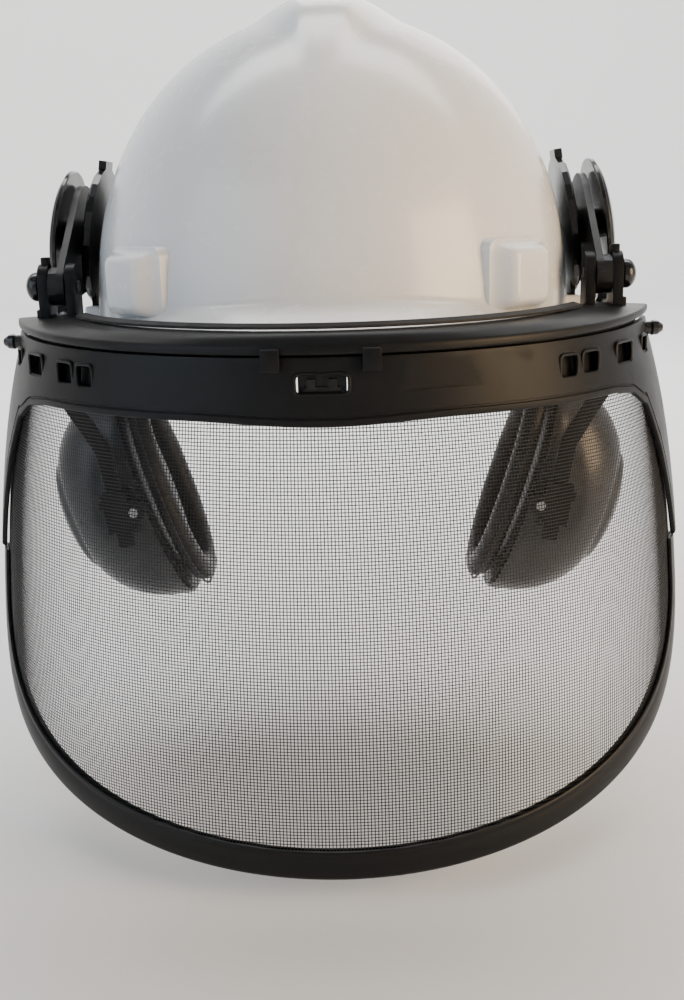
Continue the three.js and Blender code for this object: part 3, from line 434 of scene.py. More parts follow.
def ridge_rise(x, y):
    """How far the smooth raised ridge along the crown stands up at a point seen from above."""
    along = (y - RIDGE_FRONT) / (RIDGE_BACK - RIDGE_FRONT)
    if not 0 < along < 1:
        return 0
    half_width = RIDGE_HALF_WIDTH * min(1, 2.4 * min(along, 1 - along)) ** 0.8
    across = (half_width - abs(x)) / ((1 - RIDGE_FLAT) * half_width)
    return RIDGE_RISE * smoothstep(across) * smoothstep(4 * along) * smoothstep(4 * (1 - along))


def dome_point(bearing, steepness, inset=0):
    """A point of the dome: steepness is 0 at the rim and a right angle at the top."""
    shrink = math.cos(steepness)
    x = (HAT_HALF_WIDTH - inset) * shrink * math.sin(bearing)
    y = HAT_CENTRE_Y - (HAT_HALF_LENGTH - inset) * shrink * math.cos(bearing)
    rise = max(0.0, math.sin(steepness)) ** (2 / HAT_POWER)
    return Vector((x, y, (HAT_CROWN - inset) * rise + ridge_rise(x, y)))


def outwards(bearing):
    return Vector(
        (math.sin(bearing) / HAT_HALF_WIDTH, -math.cos(bearing) / HAT_HALF_LENGTH, 0)
    ).normalized()


def bent(before, corner, after, count=5):
    """A smooth bend from one point to another, round a corner."""
    return [before * (1 - t) ** 2 + corner * 2 * t * (1 - t) + after * t**2 for t in spread(0, 1, count)]


def hat_outside_profile(bearing):
    front = max(0.0, math.cos(bearing))
    crease = CREASE_SIDE + (CREASE_FRONT - CREASE_SIDE) * front**2
    width = LIP + PEAK * front**1.5
    bend = 3.2
    steepness_at = lambda z: math.asin((z / HAT_CROWN) ** (HAT_POWER / 2))
    dome = [dome_point(bearing, s) for s in spread(math.pi / 2, steepness_at(crease + bend), 46)]
    corner = dome_point(bearing, steepness_at(crease))
    lip_way = (outwards(bearing) - Vector((0, 0, LIP_SLOPE))) * width
    tip = corner + lip_way
    crease_bend = bent(dome.pop(), corner, corner + lip_way.normalized() * bend)
    under = tip - Vector((0, 0, HAT_WALL))
    back = lip_way.normalized() * 1.1
    nose = bent(tip - back, tip + back * 0.3, tip - Vector((0, 0, HAT_WALL / 2)), 4)
    nose += bent(nose.pop(), under + back * 0.3, under - back, 4)
    root = corner - outwards(bearing) * 3 * HAT_WALL
    root.z = crease - HAT_WALL
    middle = Vector((0, HAT_CENTRE_Y, CREASE_SIDE))
    return [*dome, *crease_bend, *nose, root, middle]


def hat_inside_profile(bearing):
    dome = [dome_point(bearing, s, HAT_WALL) for s in spread(math.pi / 2, 0, 36)]
    below = Vector((dome[-1].x, dome[-1].y, -40))
    return [*dome, below, Vector((0, HAT_CENTRE_Y, -40))]


def rectangle(x, width, height, radius):
    across, up = width / 2, height / 2
    corners = [(-across, -up), (across, -up), (across, up), (-across, up)]
    return [(x, y, z) for y, z in rounded_section(corners, radius)]


def front_boss():
    """The raised pad on a front quarter: a soft-edged block with sloping sides and a fillet at its foot."""
    size_at = lambda x: [b - (b - f) * x / BOSS_PROUD for b, f in zip(BOSS_BASE, BOSS_FACE)]
    stations = [(-4.8, 4.5, 5), (0.2, 3.5, 5), (0.9, 1.6, 4.5), (2.2, 0.2, 4), (4.5, 0, 4), (6.4, 0, 3.8),
                (7.6, -0.7, 3.7), (8.5, -1.9, 3.5), (8.9, -3.2, 3.2), (BOSS_PROUD, -4.6, 3)]
    rings = []
    for x, grow, radius in stations:
        width, height = size_at(max(x, 0))
        rings.append(rectangle(x, width + grow, height + grow, radius))
    boss = skin("boss", rings, smooth_angle=50)
    bearing = math.radians(BOSS_ANGLE)
    seat = dome_point(bearing, 0)
    normal = outwards(bearing)
    turn = Matrix.Rotation(math.atan2(normal.y, normal.x), 4, "Z")
    return place(boss, Matrix.Translation((seat.x, seat.y, BOSS_HEIGHT)) @ turn)


def hat_shell():
    shell = polar("helmet_shell", hat_outside_profile, 144)
    additions = [handed(front_boss(), side) for side in SIDES.values()]
    for side in SIDES.values():
        seat = soften(block((HAT_HALF_WIDTH - 6, 119), (-17, 17), (0, 11.5)), 1.4, 3)
        additions.append(handed(seat, side))
    combine(shell, additions, "UNION")
    combine(shell, [polar("inside", hat_inside_profile, 144)], "DIFFERENCE")
    slots = [handed(block((113.6, 116.6), (-12.4, 12.4), (-40, 40)), side) for side in SIDES.values()]
    combine(shell, slots, "DIFFERENCE")
    shade(shell, 34)
    finish_piece(shell, "helmet", "shell", "hat_shell")


# ---------------------------------------------------------------- brow guard and its towers


EDGE_ANGLE = 74  # half of the angle that the visor spans round the face
TOWER_Y, TOWER_PIN = -50, 23


def oval(half_width, reach, angle, z):
    turn = math.radians(angle)
    return Vector((half_width * math.sin(turn), -reach * math.cos(turn), z))


def guard_section(angle):
    outer_top = 5 + 4 * (angle / EDGE_ANGLE) ** 2
    inner, outer = (120, 149), (149, 157)
    fold = [i + 0.62 * (o - i) for i, o in zip(inner, outer)]
    corners = [
        (inner, 4.5), (inner, 10.5), (fold, 9.5),
        (outer, outer_top), (outer, outer_top - 3), (fold, outer_top - 2.5),
    ]
    points = [oval(*size, angle, z) for size, z in corners]
    return [Vector(p) for p in rounded_section(points, [1, 1.2, 3.5, 1.2, 0.9, 3], 5)]


def tower_plate(start, end):
    y = (TOWER_Y - 7, TOWER_Y + 7)
    upright = block((start, end), y, (5, 26))
    return soften(combine(upright, [bar("x", start, end, (TOWER_Y, 26), 7)], "UNION"), 0.7, 3)


def shade_skirt():
    """A black skirt close behind the visor's frame: a flange, and a dark wall that stands in for the shade seen
    in the openings and in the gap above the frame; short across the front, deeper behind the openings.
    """
    rings = []
    for angle in spread(-69, 69, 138):
        bottom = -1.5 - 12.5 * smoothstep((abs(angle) - 33) / 3)
        corners = [(-1.2, 5.5), (-1.2, bottom), (-3, bottom), (-3, 5.5)]
        rings.append([visor_point(angle, z, offset) for offset, z in rounded_section(corners, 0.5, 3)])
    return skin("skirt", rings)


def brow_guard():
    guard = skin("brow_guard_moulding", [guard_section(a) for a in spread(-EDGE_ANGLE, EDGE_ANGLE, 110)])
    pieces = [soften(block((x - 3.5, x + 3.5), (-158, -155.6), (-4, 4.5)), 0.5) for x in (-18.5, 18.5)]
    for side in SIDES.values():
        lug = block((124.9, 128.3), (TOWER_Y - 2.5, TOWER_Y + 2.5), (30, 36))
        nub = block((128.3, 131.8), (TOWER_Y - 3, TOWER_Y + 3), (8, 13))
        ear = block((133, 136.4), (-52, -43.1), (-7, 6.2))
        combine(ear, [bar("x", 120, 150, (-46.5, -1.5), 3.35)], "DIFFERENCE")
        parts = [tower_plate(113, 117.1), tower_plate(124.9, 129.3)]
        parts += [soften(part, 0.6) for part in (lug, nub, ear)]
        pieces += [handed(part, side) for part in parts]
    combine(guard, [shade_skirt(), *pieces], "UNION")
    holes = [handed(bar("x", 100, 140, (TOWER_Y, TOWER_PIN), 3.35), side) for side in SIDES.values()]
    combine(guard, holes, "DIFFERENCE")
    shade(guard, 34)
    finish_piece(guard, "visor", "frame_black", "brow_guard")


hat_shell()


# ---------------------------------------------------------------- visor: frame, woven screen and edge trim


VISOR_HALF_WIDTH, VISOR_FLARE, FLARE_FADE = 146, 27, 80
VISOR_REACH, REACH_GROWTH = 152, 2
VISOR_WIDEST, VISOR_BOTTOM = -117, -210
FRAME_INNER, FRAME_OUTER = 0.25, 2.6
BAND_BOTTOM, LEG_END = -23, -98
LEG_CONTOUR = [
    (50, BAND_BOTTOM), (56, -25), (61, -32), (65.5, -53), (70, -82), (72, LEG_END), (EDGE_ANGLE, LEG_END),
]
PEG_Y, PEG_Z = -46.5, -1.5

# Each opening: angle round the face, height, width, height of the hole.
SIDE_OPENINGS = [(39.2, -8.6, 10, 9), (44.4, -8.2, 11, 9), (55, -7.4, 16, 9), (66, -6.8, 11, 7.5)]
CENTRE_OPENING = (0, -8.8, 20, 7.6)
LABEL_RECESS = (17.5, -6.4, 37, 11)


def visor_point(angle, z, offset=0.0):
    """A point of the visor's curved face, offset outwards from it."""
    flare = VISOR_FLARE * (1 - math.exp(min(z, 0) / FLARE_FADE))
    reach = VISOR_REACH + REACH_GROWTH * max(0, z / VISOR_BOTTOM)
    return oval(VISOR_HALF_WIDTH + flare + offset, reach + offset, angle, z)


def visor_normal(angle, z):
    across = visor_point(angle + 0.5, z) - visor_point(angle - 0.5, z)
    up = visor_point(angle, z + 1) - visor_point(angle, z - 1)
    return across.cross(up).normalized()


def lower_edge(angle, edge_angle, bottom):
    side = min(1, abs(angle) / edge_angle)
    return VISOR_WIDEST + (bottom - VISOR_WIDEST) * math.sqrt(1 - side * side)


def frame_bottom(angle):
    angle = abs(angle)
    if angle <= LEG_CONTOUR[0][0]:
        return BAND_BOTTOM - 2 * smoothstep(1 - angle / 20)
    for (a0, z0), (a1, z1) in zip(LEG_CONTOUR, LEG_CONTOUR[1:]):
        if angle <= a1:
            return z0 + (z1 - z0) * (angle - a0) / (a1 - a0)
    return LEG_END


def frame_top(angle):
    return 1.5 + 2.3 * (angle / EDGE_ANGLE) ** 2


def frame_section(angle):
    """The frame's outline at an angle: rounded edges, and a shallow groove beside the lower edge."""
    top, bottom = frame_top(angle), frame_bottom(angle)
    lean = min(6, math.hypot(1, (frame_bottom(angle + 0.5) - frame_bottom(angle - 0.5)) / 2.9))
    room = min(1, (top - bottom) / (9 * lean))
    outer, groove = FRAME_OUTER, FRAME_OUTER - 0.55
    near_edge = [
        (0.0, 0.9), (0.12, 1.9), (0.45, 2.4), (1.0, outer),
        (2.8, outer), (3.1, groove), (3.7, groove), (4.0, outer),
    ]
    front = [(bottom + up * lean * room, offset) for up, offset in near_edge]
    front += [(z, outer) for z in spread(front[-1][0], top - 1.2, 14)[1:]]
    front += [(top - 0.5, 2.45), (top - 0.12, 1.9), (top, 1.0)]
    back = [(top - 0.1, FRAME_INNER + 0.15), (top - 0.4, FRAME_INNER)]
    back += [(z, FRAME_INNER) for z in spread(top - 1.2, bottom + 0.8 * room, 14)]
    back.append((bottom + 0.1, FRAME_INNER + 0.15))
    return [visor_point(angle, z, offset) for z, offset in front + back]


def facing(angle, z, offset=0.0):
    """Carries a piece built round X, which points away from the face, to a place on the visor."""
    turn = Matrix.Rotation(math.radians(angle - 90), 4, "Z")
    return Matrix.Translation(visor_point(angle, z, offset)) @ turn


def opening_tool(angle, z, width, height, radius, start=-8, end=12):
    tool = skin("opening", [rectangle(x, width, height, radius) for x in (start, end)])
    return place(tool, facing(angle, z))


def opening_rim(angle, z, width, height, radius):
    """A small rounded rim that stands round an opening."""
    section = [(0.75 * math.cos(t) + 0.15, 0.7 * math.sin(t)) for t in spread(0, 2 * math.pi, 10)[:-1]]
    outline = [Vector(p) for p in rectangle(0, width, height, radius)]
    rings = []
    for i, here in enumerate(outline):
        tangent = (outline[(i + 1) % len(outline)] - outline[i - 1]).normalized()
        away = Vector((1, 0, 0)).cross(tangent).normalized()
        if away.dot(here) < 0:
            away = -away
        rings.append([here + away * a + Vector((FRAME_OUTER - 0.35 + x, 0, 0)) for a, x in section])
    return place(skin("rim", rings, loop=True, smooth_angle=60), facing(angle, z))


def join_objects(name, parts):
    """One object from several closed pieces, which keep their own shapes."""
    bm = bmesh.new()
    for part in parts:
        bm.from_mesh(part.data)
        bpy.data.objects.remove(part)
    mesh = bpy.data.meshes.new(name)
    bm.to_mesh(mesh)
    bm.free()
    obj = bpy.data.objects.new(name, mesh)
    bpy.context.scene.collection.objects.link(obj)
    return obj


def visor_frame():
    angles = sorted({*spread(-61, 61, 122), *(s * a for a in spread(61, EDGE_ANGLE, 26) for s in (1, -1))})
    frame_piece = skin("visor_frame_moulding", [frame_section(a) for a in angles], smooth_angle=40)
    openings = [(*CENTRE_OPENING, 2.4)]
    openings += [(side * a, z, w, h, 2.2) for side in SIDES.values() for a, z, w, h in SIDE_OPENINGS]
    tools = [opening_tool(*opening) for opening in openings]
    tools.append(opening_tool(*LABEL_RECESS, 0.8, start=FRAME_OUTER - 0.6))
    tools += [handed(bar("x", 100, 170, (PEG_Y, PEG_Z), 3.9), side) for side in SIDES.values()]
    combine(frame_piece, tools, "DIFFERENCE")
    shade(frame_piece, 34)
    finish_piece(frame_piece, "visor", "frame_black", "visor_frame")
    rims = join_objects("visor_frame_rims", [opening_rim(*opening) for opening in openings])
    shade(rims, 60)
    finish_piece(rims, "visor", "frame_black")


TRIM_WEB, TRIM_WIDTH = 1.6, 11
TRIM_NORMAL_SHARE = 0.972  # keeps the trim's face square to the visor where the surface curls away


def trim_path():
    corner = [
        (EDGE_ANGLE * math.cos(t), VISOR_WIDEST + (VISOR_BOTTOM - VISOR_WIDEST) * math.sin(t))
        for t in spread(0, math.pi / 2, 90)
    ]
    half = [(EDGE_ANGLE, z) for z in spread(LEG_END - 0.6, VISOR_WIDEST, 8)[:-1]] + corner
    return half + [(-angle, z) for angle, z in half[-2::-1]]


def edge_trim():
    """A soft channel pushed over the screen's edge, with a crowned face and a thin lip on its inner side."""
    crown = [(TRIM_WIDTH, 0.9), (TRIM_WIDTH - 0.5, 1.25), (TRIM_WIDTH - 1.3, 1.25), (TRIM_WIDTH - 1.8, 0.95)]
    for x in (8, 6, 4, 2, 0.2, -0.8):
        crown.append((x, 1.0 + 0.65 * math.sin(math.pi * (x + TRIM_WEB) / TRIM_WIDTH)))
    section = crown + [
        (-TRIM_WEB, 0.3), (-TRIM_WEB, -2.2), (-TRIM_WEB + 0.9, -3), (TRIM_WIDTH - 0.6, -3),
        (TRIM_WIDTH, -2.5), (TRIM_WIDTH, -1.8), (0.35, -1.7), (0.35, -0.1), (TRIM_WIDTH, -0.1),
    ]
    stations = trim_path()
    path = [visor_point(angle, z) for angle, z in stations]
    rings = []
    for i, (angle, z) in enumerate(stations):
        tangent = (path[min(i + 1, len(path) - 1)] - path[max(i - 1, 0)]).normalized()
        outward = visor_normal(angle * TRIM_NORMAL_SHARE, z)
        outward = (outward - tangent * outward.dot(tangent)).normalized()
        inward = tangent.cross(outward).normalized()
        rings.append([path[i] + inward * into + outward * out for into, out in section])
    finish_piece(skin("edge_trim_channel", rings, smooth_angle=50), "visor", "trim", "edge_trim")


SCREEN_TOP, SCREEN_BOTTOM, SCREEN_EDGE = -16, -208, 73.3
SCREEN_OFFSET = -0.9  # the middle of the woven sheet, behind the visor's face
WIRE_PITCH, WIRE_RADIUS = 1.4, 0.19


def wire(path, frames, vertices, faces):
    """Adds a thin square-section wire, set on its corner so that it shades as round."""
    start = len(vertices)
    for here, (normal, side) in zip(path, frames):
        vertices += [here + normal * WIRE_RADIUS, here + side * WIRE_RADIUS,
                     here - normal * WIRE_RADIUS, here - side * WIRE_RADIUS]
    for i in range(len(path) - 1):
        here = start + 4 * i
        faces += [(here + j, here + (j + 1) % 4, here + 4 + (j + 1) % 4, here + 4 + j) for j in range(4)]
    end = len(vertices) - 4
    faces += [(start + 3, start + 2, start + 1, start), (end, end + 1, end + 2, end + 3)]


def screen_limit(z):
    """The angle at which a level wire of the screen ends."""
    if z >= VISOR_WIDEST:
        return SCREEN_EDGE
    fall = (z - VISOR_WIDEST) / (SCREEN_BOTTOM - VISOR_WIDEST)
    return SCREEN_EDGE * math.sqrt(max(0, 1 - fall * fall))


def mesh_screen():
    """Two sets of wires, one in front of the other by less than their thickness, as woven wire lies."""
    vertices, faces = [], []
    up = Vector((0, 0, 1))
    levels = int((SCREEN_TOP - SCREEN_BOTTOM - 1) / WIRE_PITCH)
    for i in range(levels):
        z = SCREEN_TOP - i * WIRE_PITCH
        angles = spread(-screen_limit(z), screen_limit(z), 72)
        path = [visor_point(a, z, SCREEN_OFFSET + 0.1) for a in angles]
        wire(path, [(visor_normal(a, z), up) for a in angles], vertices, faces)
    angle, step = -SCREEN_EDGE, 0.01
    while angle < SCREEN_EDGE:
        low = lower_edge(angle, SCREEN_EDGE, SCREEN_BOTTOM)
        heights = spread(SCREEN_TOP + 0.5, low, max(3, round((SCREEN_TOP - low) / 9)))
        path = [visor_point(angle, z, SCREEN_OFFSET - 0.1) for z in heights]
        frames = []
        for z in heights:
            normal = visor_normal(angle, z)
            frames.append((normal, normal.cross(up).normalized()))
        wire(path, frames, vertices, faces)
        reach = (visor_point(angle + step, -100) - visor_point(angle, -100)).length / step
        angle += WIRE_PITCH / reach
    screen = mesh_object("woven_screen", vertices, faces, smooth_angle=180)
    finish_piece(screen, "visor", "mesh", "mesh_screen")


brow_guard()
visor_frame()
edge_trim()
mesh_screen()


# ---------------------------------------------------------------- hubs, pins and ear muffs


HUB_HEIGHT, HUB_LEAN = 44, 8
CAP_INNER, CAP_RADIUS, CAP_DEPTH, CAP_BORE = 126, 31, 7, 7.35
HINGE_X, HINGE_Z = 131, 7
MUFF_Y, LEG_HALF_SPAN = 10, 42
KNEE, FOOT = (111, -57), (103, -104)
PIVOT_X, PIVOT_Z, CUP_LEAN = 98, -86, 18
CUP_HALF_WIDTH, CUP_HALF_HEIGHT, CUP_DEPTH, CUP_WALL, CUP_RIM = 36, 58, 49, 3, -2.9
CUP_ROUNDNESS = 2.6


def leaned(obj, x):
    """Leans a piece built round X with the helmet's side, and carries it to the hub's centre."""
    turn = Matrix.Rotation(-math.radians(HUB_LEAN), 4, "Y")
    return place(obj, Matrix.Translation((x, 0, HUB_HEIGHT)) @ turn)


def muff_hub(name, side):
    """A domed cap with stepped rings and a fork below it for the arm's hinge."""
    rim, step = CAP_RADIUS, 2.4
    profile = [(0, 0), (rim - 0.5, 0), (rim, 0.5), (rim, 1.9), (rim - 0.5, 2.4), (rim - step, 2.6)]
    face = rim - step
    for t in spread(0.12, 1, 26):
        angle = t * math.pi / 2
        radius = face * math.cos(angle)
        groove = 0.55 if any(abs(radius / face - ring) < 0.03 for ring in (0.42, 0.86)) else 0
        profile.append((radius, 2.8 + (CAP_DEPTH - 2.8) * math.sin(angle) - groove))
    profile[-1] = (0, profile[-1][1])
    cap = turned("muff_hub_cap", profile, 96)
    combine(cap, [bar("x", -1, 3.7, (0, 0), CAP_BORE)], "DIFFERENCE")
    leaned(cap, CAP_INNER)
    parts = []
    for start, end in ((-10, -6), (6, 10)):
        ear = block((HINGE_X - 3.5, HINGE_X + 4), (start, end), (HINGE_Z, 24))
        combine(ear, [bar("y", start, end, (HINGE_X, HINGE_Z), 4.6)], "UNION")
        parts.append(soften(ear, 0.7, 3))
    parts.append(soften(block((HINGE_X - 3.2, HINGE_X + 3.6), (-10, 10), (14, 25)), 1, 3))
    combine(cap, parts, "UNION")
    combine(cap, [bar("y", -20, 20, (HINGE_X, HINGE_Z), 2.35, 24)], "DIFFERENCE")
    shade(cap, 38)
    cap.name = f"muff_hub_cap_{name}"
    finish_piece(handed(cap, side), f"muff_hub_{name}", "gloss_black", f"muff_hub_{name}")


def tower_pin(name, side):
    start, end = 129.65, 136
    shank = turned("tower_pin", [(0, 112.4), (2.6, 112.4), (3, 112.8), (3, 130.3), (0, 130.3)], 32)
    dome = [
        (6.5 * math.cos(t), start + 1.9 + (end - start - 1.9) * math.sin(t))
        for t in spread(0, math.pi / 2, 12)
    ]
    dome[-1] = (0, end)
    head = turned("head", [(0, start), (6, start), (6.5, start + 0.5), *dome], 48)
    combine(shank, [head], "UNION")
    place(shank, Matrix.Translation((0, TOWER_Y, TOWER_PIN)))
    shade(shank, 40)
    shank.name = f"tower_pin_turned_{name}"
    finish_piece(handed(shank, side), "visor", "gloss_black", f"tower_pin_{name}")


def yoke_half(sign):
    """The yoke's centre line from the foot of one leg to the middle of the crossbeam."""
    y = MUFF_Y + sign * LEG_HALF_SPAN
    knee_x, knee_z = KNEE
    return [Vector(p) for p in (
        (FOOT[0], y, FOOT[1]), (knee_x - 0.3, y, knee_z - 2), (knee_x + 1, y, knee_z + 2), (127.5, y, -29.5),
        (131, y, -23.5), (133, y - sign * 0.6, -15), (134, y - sign * 4, -8.6), (134, y - sign * 10, -6),
        (134, y - sign * 20, -5.6),
    )]


def softened_path(points, rounds=2):
    """Cuts the corners of an open path, without moving its ends."""
    for _ in range(rounds):
        cut = [points[0]]
        for a, b in zip(points, points[1:]):
            cut += [a.lerp(b, 0.2), a.lerp(b, 0.8)]
        points = cut + [points[-1]]
    return points


def muff_arm(name, side):
    path = softened_path([*yoke_half(-1), *yoke_half(1)[::-1]])
    section = rounded_section([(4, 1.75), (-4, 1.75), (-4, -1.75), (4, -1.75)], 1.1, 4)
    rings = []
    for i, here in enumerate(path):
        tangent = (path[min(i + 1, len(path) - 1)] - path[max(i - 1, 0)]).normalized()
        wide = (Vector((1, 0, 0)) - tangent * tangent.x).normalized()
        thin = tangent.cross(wide)
        rings.append([here + wide * w + thin * t for w, t in section])
    arm = skin(f"muff_yoke_{name}", rings, smooth_angle=50)
    web = soften(block((HINGE_X - 1, HINGE_X + 4.6), (-5.6, 5.6), (-6, HINGE_Z)), 0.8, 3)
    knuckle = soften(bar("y", -5.6, 5.6, (HINGE_X, HINGE_Z), 4.6), 0.5)
    combine(arm, [web, knuckle], "UNION")
    combine(arm, [bar("y", -20, 20, (HINGE_X, HINGE_Z), 2.35, 24)], "DIFFERENCE")
    shade(arm, 45)
    finish_piece(handed(arm, side), f"muff_arm_{name}", "satin_black", f"muff_arm_{name}")


def in_cup(obj, side):
    """Carries a piece built round the cup's pivot, X out of the ear, to its place on the head."""
    turn = Matrix.Rotation(math.radians(CUP_LEAN), 4, "Y")
    return handed(place(obj, Matrix.Translation((PIVOT_X, MUFF_Y, PIVOT_Z)) @ turn), side)


def cup_skin(inset, s):
    """Distance out of the ear and the two half sizes of the cup, from its rim at 0 to its crown at 1."""
    shrink = math.sqrt(max(0, 1 - s**CUP_ROUNDNESS)) * 0.92 + 0.08 * (1 - s)
    out = CUP_RIM + (CUP_DEPTH - inset) * s
    return out, (CUP_HALF_WIDTH - inset) * shrink, (CUP_HALF_HEIGHT - inset) * shrink


def cup_shell(name, side):
    """A deep oval shell with a stepped rim and a raised oval on its crown."""
    stations = [math.sin(t) for t in spread(0, math.pi / 2, 40)]

    def relief(s):
        if s < 0.1:
            return 0.7 * smoothstep((0.1 - s) / 0.02)
        crown = math.sqrt(max(0, 1 - s**CUP_ROUNDNESS))
        return 0.8 * smoothstep((0.56 - crown) / 0.06) - 0.5 * (1 if 0.56 < crown < 0.62 else 0)

    def profile(turn):
        at = lambda x, y, z: Vector((x, y * math.sin(turn), z * math.cos(turn)))
        outside = []
        for s in reversed(stations):
            x, half_y, half_z = cup_skin(0, s)
            grow = relief(s)
            outside.append(at(x + (grow if s > 0.5 else 0), half_y + grow * 0.6, half_z + grow * 0.6))
        outside[0] = Vector((outside[0].x, 0, 0))
        inside = [at(*cup_skin(CUP_WALL, s)) for s in stations[::2]]
        inside[-1] = Vector((inside[-1].x, 0, 0))
        return [*outside, *inside]

    shell = polar(f"cup_moulding_{name}", profile, 96)
    combine(shell, [bar("y", -80, 80, (0, 0), 2.65, 24)], "DIFFERENCE")
    shade(shell, 40)
    finish_piece(in_cup(shell, side), f"ear_cup_{name}", "cup", f"cup_shell_{name}")


for side_name, side in SIDES.items():
    muff_hub(side_name, side)
    tower_pin(side_name, side)
    muff_arm(side_name, side)
    cup_shell(side_name, side)


# ---------------------------------------------------------------- padded and woven pieces


PAD_SPAN, PAD_HALF, PAD_RADIAL, PAD_CENTRE = (26.5, 48.5), 6.4, 8, -12


def oval_ring(turn):
    """A point on the cushion's middle line and the way outwards from it, in the cup's own frame."""
    width, height = PAD_SPAN
    centre = Vector((PAD_CENTRE, width * math.sin(turn), height * math.cos(turn)))
    return centre, Vector((0, math.sin(turn) / width, math.cos(turn) / height)).normalized()


def inflate(obj, pressure=4.0, last_frame=20, voxel=3.6):
    """Fills a closed mesh as a sewn cover is filled, by cloth simulation without gravity."""
    remesh = obj.modifiers.new("remesh", "REMESH")
    remesh.mode = "VOXEL"
    remesh.voxel_size = voxel * MM
    apply_modifiers(obj)
    rest = [v.co.copy() for v in obj.data.vertices]
    cloth = obj.modifiers.new("cloth", "CLOTH")
    cloth.settings.use_pressure = True
    cloth.settings.uniform_pressure_force = pressure
    cloth.settings.effector_weights.gravity = 0
    cloth.settings.tension_stiffness = 30
    cloth.settings.compression_stiffness = 30
    cloth.point_cache.frame_end = last_frame
    scene = bpy.context.scene
    for number in range(1, last_frame + 1):
        scene.frame_set(number)
    apply_modifiers(obj)
    scene.frame_set(1)
    limit = 1.1 * MM
    for vertex, start in zip(obj.data.vertices, rest):
        shift = vertex.co - start
        if shift.length > limit:
            vertex.co = start + shift.normalized() * limit
    smooth = obj.modifiers.new("subdivision", "SUBSURF")
    smooth.levels = smooth.render_levels = 1
    apply_modifiers(obj)
    shade(obj, 80)
    return obj


def pad_cover(name, side):
    """The cushion's cover: a soft oval ring, pulled in at its outer seam and creased at the tight ends."""
    rings = []
    for turn in spread(0, 2 * math.pi, 72)[:-1]:
        centre, out = oval_ring(turn)
        pucker = 0.25 * math.cos(36 * turn)
        ring = []
        for j in range(20):
            angle = 2 * math.pi * (j + 0.5) / 20
            c, s = math.cos(angle), math.sin(angle)
            reach = (PAD_RADIAL - 0.9 - (1.2 if c > 0.93 else 0)) * math.copysign(abs(c) ** 0.75, c)
            height = (PAD_HALF - 0.9 + pucker * max(0, c)) * math.copysign(abs(s) ** 0.75, s)
            ring.append(centre + out * reach + Vector((height, 0, 0)))
        rings.append(ring)
    cover = inflate(skin(f"cushion_cover_{name}", rings, loop=True, smooth_angle=80))
    finish_piece(in_cup(cover, side), f"ear_cup_{name}", "cushion", f"ear_cushion_{name}")


def seam_bead(name, side):
    """The welded seam that runs round the cushion's outside."""
    rings = []
    for turn in spread(0, 2 * math.pi, 120)[:-1]:
        centre, out = oval_ring(turn)
        middle = centre + out * (PAD_RADIAL - 0.55)
        rings.append([middle + out * 0.8 * math.cos(t) + Vector((0.5 * math.sin(t), 0, 0))
                      for t in spread(0, 2 * math.pi, 8)[:-1]])
    bead = skin(f"cushion_seam_{name}", rings, loop=True, smooth_angle=80)
    finish_piece(in_cup(bead, side), f"ear_cup_{name}", "cushion")


def cup_foam(name, side):
    """The slab of open foam inside the cup, dished in its middle and uneven round its cut edge."""
    rows, segments = 10, 72

    def profile(turn):
        wave = 0.35 * math.sin(7 * turn) + 0.25 * math.sin(11 * turn + 1)
        half_y, half_z = 26 + wave - 0.6, 47 + wave - 0.6
        points = []
        for r in spread(0, 1, rows):
            dish = 1.6 * (1 - r * r)
            edge = 1.4 * max(0, (r - 0.85) / 0.15) ** 2
            points.append((4 + dish + edge, r))
        points += [(8.5, 1.015)]
        points += [(13 - 1.4 * max(0, (r - 0.85) / 0.15) ** 2, r) for r in spread(1, 0, rows)]
        return [Vector((x, half_y * r * math.sin(turn), half_z * r * math.cos(turn))) for x, r in points]

    foam = polar(f"cup_foam_slab_{name}", profile, segments, smooth_angle=60)
    finish_piece(in_cup(foam, side), f"ear_cup_{name}", "foam", f"cup_foam_{name}")


BAND_HALF_WIDTH, BAND_HALF_LENGTH, BAND_Y, BAND_HALF = 80, 97, 4, 14
BAND_FRONT, BAND_REAR, BAND_THICKNESS = 14, -16, 1.8


def band_point(bearing, out, up):
    rear = (1 - math.cos(bearing)) / 2
    z = BAND_FRONT + (BAND_REAR - BAND_FRONT) * rear**2 + up
    return Vector((
        (BAND_HALF_WIDTH + out) * math.sin(bearing), BAND_Y - (BAND_HALF_LENGTH + out) * math.cos(bearing), z,
    ))


def sweatband():
    """A padded strip inside the headband's front, crowned, with a stitched channel along each edge."""
    front, depth, half = -BAND_THICKNESS - 0.6, 3.8, BAND_HALF + 2
    rings = []
    for i, bearing in enumerate(spread(math.radians(-58), math.radians(58), 90)):
        tuft = 0.35 * math.cos(i * math.pi / 7.5) ** 2
        inner = []
        for t in spread(-1, 1, 16):
            crown = (1 - abs(t) ** 5) * (depth - 0.7 - tuft * (1 - t * t))
            channel = 0.9 * math.exp(-(((abs(t) - 0.72) / 0.06) ** 2))
            inner.append((front - 0.5 - max(0.2, crown - channel), t * half * 0.99))
        outer = [(front, half * t) for t in spread(0.96, -0.96, 4)]
        rings.append([band_point(bearing, out, up) for out, up in inner + outer])
    pad = skin("sweatband_pad", rings, smooth_angle=60)
    finish_piece(pad, "helmet", "cushion", "sweatband")


